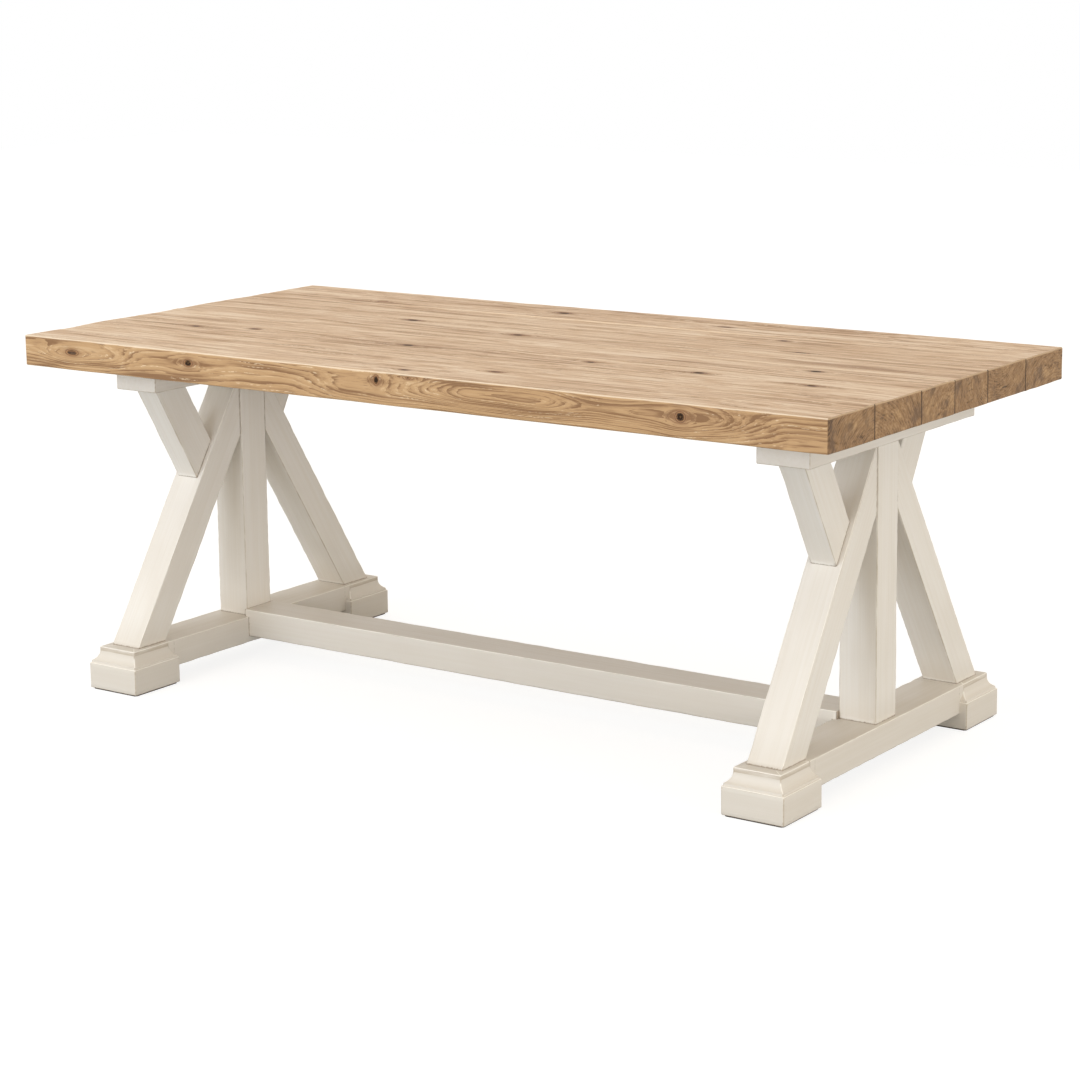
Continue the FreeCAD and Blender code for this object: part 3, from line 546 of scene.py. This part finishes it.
def end_checks(plank, world, middle, half):
    """Depth, from 0 to 1, of the broken, wavy splits that open across the end grain."""
    random = np.random.default_rng(200 + plank)
    x, y, z = world.T
    depth = np.zeros(len(world))
    for end in (-1, 1):
        on_end = np.exp(-np.abs(half[0] - end * x) / CHECK_FADE)
        for length in CHECK_LENGTHS:
            across, up = random.uniform(-0.75, 0.75, 2) * half[1:]
            slope = random.uniform(-0.3, 0.3)
            along, aside = y - middle[1] - across, z - middle[2] - up
            along, aside = along + slope * aside, aside - slope * along
            aside = aside + CHECK_WANDER * ripple(world, (1, 0.03, 0.03), random.integers(1000), waves=3)
            broken = np.clip(0.5 + 0.8 * ripple(world, (1, 0.012, 0.02), random.integers(1000)), 0, 1)
            inside = np.clip(1 - np.abs(along) / length, 0, 1) ** 0.5
            depth = np.maximum(depth, on_end * inside * broken * np.exp(-(aside / CHECK_WIDTH) ** 2))
    return depth


def make_plank(plank, material):
    node = f"top_plank_{plank}"
    middle, half = middle_and_half(node)
    steps = (PLANK_STEP, PLANK_CROSS_STEP, PLANK_HEIGHT_STEP)
    points, quads = block_shell(*(ladder(2 * side, step, TOP_ARRIS) for side, step in zip(half, steps)))
    points -= half
    outer = {1: -1, PLANKS[-1]: 1}.get(plank, 0)
    shared = np.clip(1 - outer * points[:, 1] / half[1], 0, 1) if outer else 1.0
    radius = TOP_ARRIS + (JOINT_ARRIS - TOP_ARRIS) * shared
    radius = worn(radius, points, (0.11, 0.09, 0.2), 70 + plank)
    world = eased(points, half, radius) + middle
    grain, knot, streak = plank_fields(plank, world, middle, half)
    checks = end_checks(plank, world, middle, half)

    gap = half - np.abs(points)
    below_top = half[2] - points[:, 2]
    heart_hole = np.clip((0.5 - knot) / 0.5, 0, 1)
    crown = CROWN * ripple(world, (1.4, 0.18, 1), 90 + plank)
    world[:, 2] += np.clip(1 - below_top / CROWN_FADE, 0, 1) * (crown - HEART_DEPTH * heart_hole)
    world[:, 0] -= np.sign(points[:, 0]) * CHECK_DEPTH * checks
    world[:, 1] += np.where(gap[:, 1] < 1e-6, -np.sign(points[:, 1]) * SIDE_HEART_DEPTH * heart_hole, 0)
    # The pale band of wear and painted highlight is narrower on the sides that meet another plank.
    on_joint = points[:, 1] * outer <= 0
    worn_and_highlit_side = np.where(on_joint, gap[:, 1] + LESS_WORN_AND_HIGHLIT, gap[:, 1])
    piece = make_mesh(f"oak_plank_{plank}", world, quads)
    give(piece, grain=grain, knot=knot, streak=streak, crack=checks,
         arris=np.maximum(below_top, np.minimum(gap[:, 0], worn_and_highlit_side)),
         seam=np.where(on_joint, gap[:, 1], FAR), end_grain=(gap[:, 0] < 0.6 * TOP_ARRIS).astype(float))
    finish_piece(piece, [node], material)


# ---------------- painted members

# Sinks and slots of the bearers, the screws in them, and the room round the stretcher's pegs.
SINK_WIDTH, SINK_LENGTH = 15 * MM, 23 * MM
SLOT_WIDTH, SLOT_LENGTH = 6.6 * MM, 14 * MM
SCREW_SIZES = {"Length": 78 * MM, "Point": 9 * MM, "Radius": 3 * MM, "Pitch": 2.6 * MM,
               "Head Radius": 6 * MM, "Head Height": 3.6 * MM}
# Shares of a screw's length: where the shank narrows, where the thread starts, and how far it runs.
NECK, THREAD_START, THREADED = 0.33, 0.35, 0.64
PEG_GAP = 0.2 * MM


def near_planes(points, planes):
    """Distance to the nearest of some planes, each given as a point and a normal."""
    nearest = np.full(len(points), FAR)
    for point, normal in planes:
        normal = np.array(normal, float) / np.linalg.norm(normal)
        nearest = np.minimum(nearest, np.abs((points - np.array(point)) @ normal))
    return nearest


def make_member(node, axis, half, cuts, joints, material, seed, cutters=()):
    """A straight member. axis gives a point, the direction and the direction of the width. half is half the
    width and half the thickness, cuts are the planes of the two ends, and cutters are cut out of it."""
    origin, along, wide = (np.array(value, float) for value in axis)
    along /= np.linalg.norm(along)
    thick = np.cross(along, wide)

    def run_to_cuts(start):
        return [(np.array(point) - start) @ np.array(normal, float) / (along @ np.array(normal, float))
                for point, normal in cuts]

    first, last = run_to_cuts(origin)
    length = abs(last - first)
    shares = np.linspace(0, 1, max(2, round(length / MEMBER_STEP)) + 1)
    across = [ladder(2 * side, MEMBER_STEP, MEMBER_ARRIS) - side for side in half]
    points, quads = block_shell(shares, *across)
    radius = worn(MEMBER_ARRIS, points * [length, 1, 1], (0.09, 0.3, 0.3), 300 + seed)
    section = eased(points * [0, 1, 1], np.array([1, *half]), radius, (False, True, True))
    base = origin + section[:, 1:2] * wide + section[:, 2:] * thick
    first, last = run_to_cuts(base)
    run = first + points[:, 0] * (last - first)
    piece = make_mesh(f"painted_{node}", base + run[:, None] * along, quads)
    cut_out(piece, cutters)
    world = points_of(piece)
    run, a, b = ((world - origin) @ direction for direction in (along, wide, thick))
    give(piece, grain=np.stack([run + seed * 1.7, a + seed * 0.37, b + seed * 0.53], axis=1),
         arris=np.maximum(half[0] - np.abs(a), half[1] - np.abs(b)), joint=near_planes(world, joints))
    finish_piece(piece, [node], material)


def make_post(side, material, seed):
    x, up = TRESTLE_X[side], (0, 0, 1)
    ends = [((x, 0, FOOT_HEIGHT), up), ((x, 0, BEARER_UNDERSIDE), up)]
    make_member(f"{side}_post", ((x, 0, 0), up, (1, 0, 0)), POST_HALF, ends, ends, material, seed)


def side_view(node, sign):
    """A diagonal member's corners in the trestle's plane, read from its solid: for its lower and its upper
    end the height, and the nearest and the furthest reach from the post."""
    points = points_of(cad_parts[node])
    reach, z = points[:, 1] * sign, points[:, 2]
    ends = []
    for height in (z.min(), z.max()):
        level = reach[np.abs(z - height) < 1e-5]
        ends.append((height, level.min(), level.max()))
    return ends


def make_diagonal(node, sign, start_height, start_reaches, lean, end_cut, material, seed):
    """A member that leaves a level joint at start_height and leans by lean, the reach gained for each
    metre it rises. start_reaches are its two faces' reaches there."""
    middle, half = middle_and_half(node)
    thickness = (start_reaches[1] - start_reaches[0]) / math.hypot(1, lean)
    start = (middle[0], sign * sum(start_reaches) / 2, start_height)
    rise = 1 if end_cut[0][2] > start_height else -1
    cuts = [(start, (0, 0, 1)), end_cut]
    make_member(node, (start, (0, sign * lean * rise, rise), (1, 0, 0)), (half[0], thickness / 2), cuts, cuts,
                material, seed)


def make_leg_and_brace(side, end, material, seed):
    """Long leg, cut level on the foot and upright against the post, and the short brace that runs from the
    bearer down to the leg's outer face."""
    sign, x = ENDS[end], TRESTLE_X[side]
    leg, brace = f"{side}_{end}_leg", f"{side}_{end}_brace"
    (foot, inner, outer), (head, _, _) = side_view(leg, sign)
    slope = (outer - POST_HALF[1]) / (head - foot)
    make_diagonal(leg, sign, foot, (inner, outer), -slope, ((x, sign * POST_HALF[1], head), (0, 1, 0)),
                  material, seed)
    (tip, _, tip_reach), (head, inner, outer) = side_view(brace, sign)
    lean = (outer - tip_reach) / (head - tip)
    make_diagonal(brace, sign, head, (inner, outer), lean, ((x, sign * tip_reach, tip), (0, sign, slope)),
                  material, seed + 1)


def make_rail(side, material, seed):
    """Low beam between the feet. Its ends run on under the feet's mouldings to their bands, and square
    holes in its underside show the pegs."""
    node, foot = f"{side}_base_rail", f"{side}_back_foot"
    x = TRESTLE_X[side]
    half = middle_and_half(node)[1]
    inset = middle_and_half(foot)[1][0] - half[0]
    inner = low(foot)[1]
    ends = [((x, sign * (inner + inset), 0), (0, 1, 0)) for sign in (-1, 1)]
    joints = [((x, sign * inner, 0), (0, 1, 0)) for sign in (-1, 1)]
    pegs = points_of(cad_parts[f"{side}_stretcher_pegs"])
    holes = []
    for hand in (-1, 1):
        peg = pegs[pegs[:, 1] * hand > 0]
        corners = [peg.min(axis=0) - PEG_GAP, peg.max(axis=0) + PEG_GAP]
        corners[0][2] -= CUT_PAST
        shell, quads = block_shell(*([first, last] for first, last in zip(*corners)))
        holes.append(make_mesh("peg_hole", shell, quads))
    make_member(node, ((x, 0, low(node)[2] + half[2]), (0, 1, 0), (1, 0, 0)), half[[0, 2]], ends, joints,
                material, seed, holes)


def screw_places(side):
    """Where a bearer's screws stand: the middle of each head's bearing face."""
    points = points_of(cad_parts[f"{side}_bearer_screws"])
    tips = points[points[:, 2] > points[:, 2].max() - 1e-5]
    tips = np.unique(np.round(tips, 5), axis=0)
    return [(x, y, points[:, 2].min() + SCREW_SIZES["Head Height"]) for x, y, _ in tips]


def stadium(name, place, width, length, bottom, top):
    """A closed round-ended block, long along X, that cuts a sink or a slot."""
    half = (length - width) / 2
    angles = np.linspace(-math.pi / 2, math.pi / 2, 17)
    side = np.column_stack([half + width / 2 * np.cos(angles), width / 2 * np.sin(angles)])
    loop = np.concatenate([side, -side]) + np.array(place[:2])
    points = [np.column_stack([loop, np.full(len(loop), height)]) for height in (bottom, top)]
    return make_mesh(name, np.concatenate(points), stacked_faces(len(loop), 2))


def make_bearer(side, material, seed):
    """Flat beam under the top, eased at its ends too. Each screw has a round-ended sink in the underside and
    a slot above it, so that the top can shrink and swell."""
    node = f"{side}_bearer"
    bottom, top = low(node), high(node)
    middle, half = middle_and_half(node)
    points, quads = block_shell(*(ladder(2 * length, MEMBER_STEP, MEMBER_ARRIS) for length in half))
    points -= half
    radius = worn(MEMBER_ARRIS, points, (0.2, 0.1, 0.2), 400 + seed)
    world = eased(points, half, radius) + middle
    piece = make_mesh(f"painted_{node}", world, quads)
    cutters = []
    for place in screw_places(side):
        cutters.append(stadium("sink", place, SINK_WIDTH, SINK_LENGTH, bottom[2] - CUT_PAST, place[2]))
        cutters.append(stadium("slot", place, SLOT_WIDTH, SLOT_LENGTH, place[2] - 1 * MM, top[2] + CUT_PAST))
    cut_out(piece, cutters)
    world = points_of(piece)
    give(piece, grain=world[:, [1, 0, 2]] + seed * 0.61,
         arris=np.sort(half - np.abs(world - middle), axis=1)[:, 1],
         joint=near_planes(world, [(top, (0, 0, 1))]))
    finish_piece(piece, [node], material)


def make_stretcher(material, seed):
    """Long low beam. Its upper part laps over each rail as far as the post."""
    node = "stretcher"
    middle, half = middle_and_half(node)
    half[0] = 1
    rail_face, post_face = low("right_base_rail")[0], low("right_post")[0]
    lap = FOOT_HEIGHT - middle[2]
    shares = np.linspace(-1, 1, round(2 * rail_face / MEMBER_STEP) + 1)
    across, heights = (ladder(2 * side, MEMBER_STEP, MEMBER_ARRIS) - side for side in half[1:])
    # Two close heights make the step of the lap.
    heights = np.sort(np.append(heights[np.abs(heights - lap) > 1 * MM], [lap - 0.05 * MM, lap + 0.05 * MM]))
    points, quads = block_shell(shares, across, heights)
    arris = np.maximum(half[1] - np.abs(points[:, 1]), half[2] - np.abs(points[:, 2]))
    radius = worn(MEMBER_ARRIS, points * [rail_face, 1, 1], (0.1, 0.3, 0.3), 500 + seed)
    section = eased(points * [0, 1, 1], half, radius, (False, True, True))
    reach = np.where(points[:, 2] > lap, post_face, rail_face)
    world = np.stack([points[:, 0] * reach, section[:, 1], section[:, 2] + middle[2]], axis=1)
    piece = make_mesh("painted_stretcher", world, quads)
    give(piece, grain=world + seed, arris=arris, joint=np.minimum(reach - np.abs(world[:, 0]), FAR))
    finish_piece(piece, [node], material)


# Heights and depths of the foot's moulding.
PLINTH_HEIGHT = 58 * MM
LEDGE = 3 * MM
BAND_HEIGHT = 8 * MM
COVE_RADIUS = 24 * MM
FOOT_ARRIS = 1.5 * MM


def foot_profile(inset, bottom, top):
    """Inset, height and distance to the nearest arris, from the block's underside to the top face."""
    ease = FOOT_ARRIS
    steps = [(ease, bottom, 0), (ease * 0.3, bottom + ease * 0.3, 0), (0, bottom + ease, ease)]
    for height in np.linspace(bottom + ease, PLINTH_HEIGHT - ease, 7)[1:-1]:
        steps.append((0, height, min(height - bottom, PLINTH_HEIGHT - height)))
    steps += [(0, PLINTH_HEIGHT - ease, ease), (ease * 0.3, PLINTH_HEIGHT - ease * 0.3, 0),
              (ease, PLINTH_HEIGHT, ease), (LEDGE - 0.3 * MM, PLINTH_HEIGHT, LEDGE)]
    cove_top = top - BAND_HEIGHT
    sweep = math.acos((COVE_RADIUS - (inset - LEDGE)) / COVE_RADIUS)
    for share in np.linspace(0, 1, 10):
        angle = sweep * (1 - share)
        steps.append((inset - COVE_RADIUS * (1 - math.cos(angle)), cove_top - COVE_RADIUS * math.sin(angle),
                      20 * MM * (1 - share) + 1 * MM))
    steps += [(inset, top - ease, ease), (inset + ease * 0.3, top - ease * 0.3, 0), (inset + ease, top, ease),
              (inset + 6 * MM, top, 6 * MM), (inset + 20 * MM, top, 20 * MM)]
    return steps


def square_loop(half):
    """Points round a rectangle, closer at its slightly eased corners, with each one's distance to a corner
    and the length run so far."""
    shares = np.concatenate([[0, 0.012, 0.03, 0.07], np.linspace(0.15, 0.85, 9), [0.93, 0.97, 0.988]])
    corners = np.array([(-1, -1), (1, -1), (1, 1), (-1, 1)]) * half
    points, gaps, runs = [], [], []
    run = 0.0
    for first, last in zip(corners, np.roll(corners, -1, axis=0)):
        length = np.linalg.norm(last - first)
        points.append(first + shares[:, None] * (last - first))
        gaps.append(np.minimum(shares, 1 - shares) * length)
        runs.append(run + shares * length)
        run += length
    points, gaps = np.concatenate(points), np.concatenate(gaps)
    pull = np.clip(1 - gaps / FOOT_ARRIS, 0, 1) * 0.5 * FOOT_ARRIS
    return points - np.sign(points) * pull[:, None], gaps, np.concatenate(runs)


def make_foot(side, end, material, seed):
    """Plinth foot: a square block under a cove moulding with a flat band, mitred round all four sides."""
    node, rail = f"{side}_{end}_foot", f"{side}_base_rail"
    middle, half = middle_and_half(node)
    profile = foot_profile(half[0] - middle_and_half(rail)[1][0], low(node)[2], high(node)[2])
    points, arris, grain = [], [], []
    for inset, height, edge in profile:
        loop, corner, run = square_loop(half[:2] - inset)
        level = np.full(len(loop), height)
        points.append(np.column_stack([loop, level]))
        arris.append(np.minimum(corner, edge))
        grain.append(np.column_stack([run, level, np.full(len(loop), inset)]))
    world = np.concatenate(points) + [middle[0], middle[1], 0]
    piece = make_mesh(f"painted_{node}", world, stacked_faces(len(points[0]), len(profile)))
    give(piece, grain=np.concatenate(grain) + seed * 0.83, arris=np.concatenate(arris),
         joint=np.full(len(world), FAR))
    piece.data.set_sharp_from_angle(angle=MOULDING_SHARP_FROM)
    finish_piece(piece, [node], material)


def screw_tree():
    """Pan-head wood screws with a cross recess, one on each point, head down: smooth shank, threaded above
    a third of the length, and a drawn-out tip. Each is driven to its own turn."""
    tree = bpy.data.node_groups.new("wood_screws", "GeometryNodeTree")
    tree.is_modifier = True
    tree.interface.new_socket("Screws", in_out="OUTPUT", socket_type="NodeSocketGeometry")
    tree.interface.new_socket("Places", in_out="INPUT", socket_type="NodeSocketGeometry")
    for name in SCREW_SIZES:
        tree.interface.new_socket(name, in_out="INPUT", socket_type="NodeSocketFloat")
    tree.interface.new_socket("Seed", in_out="INPUT", socket_type="NodeSocketInt")
    tree.interface.new_socket("Finish", in_out="INPUT", socket_type="NodeSocketMaterial")
    given = add(tree, "NodeGroupInput", {}).node.outputs

    def rod(bottom, top, rings, radius):
        bottom, top = (add(tree, "CombineXYZ", {2: level}) for level in (bottom, top))
        line = add(tree, "GeometryNodeCurvePrimitiveLine", {"Start": bottom, "End": top})
        line = add(tree, "GeometryNodeResampleCurve", {"Curve": line, "Count": rings})
        ring = add(tree, "GeometryNodeCurvePrimitiveCircle", {"Resolution": 20, "Radius": 1.0})
        return add(tree, "GeometryNodeCurveToMesh", {"Curve": line, "Profile Curve": ring, "Scale": radius,
                                                     "Fill Caps": True})

    here = add(tree, "GeometryNodeInputPosition", {})
    x, y, height = (add(tree, "SeparateXYZ", {0: here}, axis) for axis in "XYZ")
    # From the point's start to the tip the screw narrows to a tenth.
    start = together(tree, given["Length"], (given["Point"], -1.0))
    taper = add(tree, "MapRange", {0: height, 1: start, 2: given["Length"], 3: 1.0, 4: 0.1})
    thread_start = together(tree, 0.0, (given["Length"], THREAD_START))
    neck = together(tree, 0.0, (given["Length"], NECK))
    narrow = add(tree, "MapRange", {0: height, 1: neck, 2: thread_start, 3: 0.96, 4: 0.7})
    core = together(tree, 0.0, (together(tree, 0.0, (taper, narrow)), given["Radius"]))
    shank = rod(0.0, given["Length"], 60, core)

    threaded = together(tree, 0.0, (given["Length"], THREADED))
    turns = add(tree, "Math", {0: threaded, 1: given["Pitch"]}, operation="DIVIDE")
    crest = together(tree, 0.0, (given["Radius"], 0.82))
    helix = add(tree, "GeometryNodeCurveSpiral", {"Resolution": 20, "Rotations": turns, "Start Radius": crest,
                                                  "End Radius": crest, "Height": threaded})
    lifted = together(tree, thread_start, (height, 1.0))
    closing = add(tree, "MapRange", {0: lifted, 1: start, 2: given["Length"], 3: 1.0, 4: 0.2})
    x, y = (together(tree, 0.0, (side, closing)) for side in (x, y))
    place = add(tree, "CombineXYZ", {0: x, 1: y, 2: lifted})
    helix = add(tree, "GeometryNodeSetPosition", {"Geometry": helix, "Position": place})
    blade = add(tree, "GeometryNodeCurvePrimitiveCircle",
                {"Resolution": 4, "Radius": together(tree, 0.0, (given["Radius"], 0.18))})
    thread = add(tree, "GeometryNodeCurveToMesh", {"Curve": helix, "Profile Curve": blade, "Fill Caps": True})

    # The head is widest at its bearing face and rounds over to a flat, which the recess is cut into.
    face = together(tree, 0.0, (given["Head Height"], -1.0))
    dome = add(tree, "Math", {0: add(tree, "Math", {0: height, 1: face}, operation="DIVIDE"), 1: 3.0},
               operation="POWER")
    width = together(tree, 0.0, (together(tree, 1.0, (dome, -0.4)), given["Head Radius"]))
    head = rod(face, 0.0, 12, width)
    long, thin = (together(tree, 0.0, (given["Head Radius"], part)) for part in (0.95, 0.22))
    deep = together(tree, 0.0, (face, -1.2))
    bars = []
    for wide, slim in ((long, thin), (thin, long)):
        size = add(tree, "CombineXYZ", {0: wide, 1: slim, 2: deep})
        bars.append(add(tree, "GeometryNodeMeshCube", {"Size": size}))
    cross = add(tree, "GeometryNodeJoinGeometry", {0: bars})
    cross = add(tree, "GeometryNodeTransform", {"Geometry": cross,
                                                "Translation": add(tree, "CombineXYZ", {2: face})})
    head = add(tree, "GeometryNodeMeshBoolean", {"Mesh 1": head, "Mesh 2": cross}, operation="DIFFERENCE",
               solver="EXACT")

    screw = add(tree, "GeometryNodeJoinGeometry", {0: [shank, thread, head]})
    turn = add(tree, "FunctionNodeRandomValue", {"Min": 0.0, "Max": 2 * math.pi, "Seed": given["Seed"]}, 1,
               data_type="FLOAT")
    screws = add(tree, "GeometryNodeInstanceOnPoints", {"Points": given["Places"], "Instance": screw,
                                                        "Rotation": add(tree, "CombineXYZ", {2: turn})})
    screws = add(tree, "GeometryNodeRealizeInstances", {0: screws})
    screws = add(tree, "GeometryNodeSetMaterial", {"Geometry": screws, "Material": given["Finish"]})
    add(tree, "NodeGroupOutput", {0: screws})
    return tree


def make_screws(side, tree, material, seed):
    """The four screws of a bearer, in the place of their plain solids."""
    piece = make_mesh(f"wood_screws_{side}", screw_places(side), [])
    modifier = piece.modifiers.new("screws", "NODES")
    modifier.node_group = tree
    values = {**SCREW_SIZES, "Seed": seed, "Finish": material}
    for item in tree.interface.items_tree:
        if item.name in values:
            modifier[item.identifier] = values[item.name]
    settle(piece)
    finish_piece(piece, [f"{side}_bearer_screws"], material)


def make_top():
    oak = washed_oak()
    for plank in PLANKS:
        make_plank(plank, oak)


def make_trestles():
    paint, zinc, screws = antique_paint(), zinc_plate(), screw_tree()
    for shift, side in ((0, "left"), (20, "right")):
        make_post(side, paint, shift + 1)
        make_bearer(side, paint, shift + 3)
        make_screws(side, screws, zinc, shift)
        make_rail(side, paint, shift + 4)
        for number, end in enumerate(ENDS):
            make_leg_and_brace(side, end, paint, shift + 5 + 2 * number)
            make_foot(side, end, paint, shift + 9 + number)
    make_stretcher(paint, 15)


def finish_carried_over():
    """Materials for the solids that stay as they are: felt pads, tenons, tongues and pegs."""
    beech, felt = bare_beech(), pressed_felt()
    kinds = {"floor_pad": felt, "tenons": beech, "tongue": beech, "pegs": beech}
    for name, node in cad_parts.items():
        for word, material in kinds.items():
            if word in name:
                node.data.materials.clear()
                node.data.materials.append(material)


# ---------------- studio

# The floor is mid grey as a surface, so that it throws little light up, and is lifted to near white where it
# is seen.
FLOOR_COLOUR = "#8C8C8A"
FLOOR_LIFT = 0.82
# As a light the surroundings are slightly warm. ZENITH_FROM is the height of a direction from which on they
# have their overhead strength.
HORIZON_STRENGTH, ZENITH_STRENGTH = 1.2, 0.78
ZENITH_FROM = 0.7
WORLD_TINT = "#FFF4E3"


def seen_directly(owner):
    """1 for rays from the camera and for those seen in a surface, 0 for light that falls on surfaces."""
    seen = 0.0
    for ray in ("Is Camera Ray", "Is Glossy Ray", "Is Transmission Ray"):
        seen = add(owner, "Math", {0: add(owner, "LightPath", {}, ray), 1: seen}, operation="MAXIMUM")
    return seen


def make_floor():
    reach = 12.0
    corners = [(-reach, -reach, 0), (reach, -reach, 0), (reach, reach, 0), (-reach, reach, 0)]
    floor = make_mesh("studio_floor", corners, [[0, 1, 2, 3]])
    material = new_material("studio_sweep")
    lift = together(material, 0.0, (seen_directly(material), FLOOR_LIFT))
    shade(material, Base_Color=FLOOR_COLOUR, Roughness=0.9, Emission_Color="#FFFFFF", Emission_Strength=lift)
    floor.data.materials.append(material)


def make_lamp(name, place, target, size, watts, tint):
    light = bpy.data.lights.new(name, "AREA")
    light.shape = "RECTANGLE"
    light.size, light.size_y = size
    light.energy = watts
    light.color = linear(tint)[:3]
    lamp = bpy.data.objects.new(name, light)
    bpy.context.scene.collection.objects.link(lamp)
    lamp.location = place
    lamp.rotation_mode = "QUATERNION"
    lamp.rotation_quaternion = (Vector(target) - Vector(place)).to_track_quat("-Z", "Y")


def make_world():
    """White surroundings: plain white to the camera and in reflections. As a light they are softer overhead
    than near the floor, as between white walls, so that light reaches in under the top."""
    world = bpy.data.worlds.new("studio")
    bpy.context.scene.world = world
    world.use_nodes = True
    seen = seen_directly(world)
    height = add(world, "SeparateXYZ", {0: add(world, "TexCoord", {}, "Generated")}, "Z")
    light = add(world, "MapRange", {0: height, 2: ZENITH_FROM, 3: HORIZON_STRENGTH, 4: ZENITH_STRENGTH})
    shade(world, Strength=add(world, "MapRange", {0: seen, 3: light, 4: 1.0}),
          Color=add(world, "Mix", {0: seen, 6: WORLD_TINT, 7: "#FFFFFF"}, 2, data_type="RGBA"))


def make_camera():
    """A long lens from the front right, a little above the top, with a small downward shift."""
    place = (3.2391, -4.5264, 1.5916)
    turn, tilt, roll = (math.radians(angle) for angle in (35.36, 10.374, -0.709))
    forward = Vector((-math.sin(turn) * math.cos(tilt), math.cos(turn) * math.cos(tilt), -math.sin(tilt)))
    right = Vector((math.cos(turn), math.sin(turn), 0))
    up = right.cross(forward)
    side = right * math.cos(roll) + up * math.sin(roll)
    head = up * math.cos(roll) - right * math.sin(roll)
    data = bpy.data.cameras.new("camera")
    data.sensor_width = 36
    data.lens = 91.856
    data.shift_y = -0.1
    camera = bpy.data.objects.new("camera", data)
    bpy.context.scene.collection.objects.link(camera)
    camera.matrix_world = Matrix.Translation(place) @ Matrix((side, head, -forward)).transposed().to_4x4()
    bpy.context.scene.camera = camera


def make_studio():
    make_floor()
    make_world()
    make_lamp("key", (-1.3, -5.2, 1.6), (-0.5, 0, 0.35), (4.6, 1.4), 102, "#E8F2FF")
    make_lamp("high", (-1.6, -4.2, 3.2), (-0.6, 0, 0.3), (1.8, 1.2), 36, "#E2EFFF")
    make_lamp("side", (9, -3.0, 0.95), (-0.5, 0, 0.45), (3.0, 1.2), 225, "#F6FAFF")
    make_camera()
    bpy.context.scene.view_settings.view_transform = "Standard"


make_top()
make_trestles()
finish_carried_over()
make_studio()
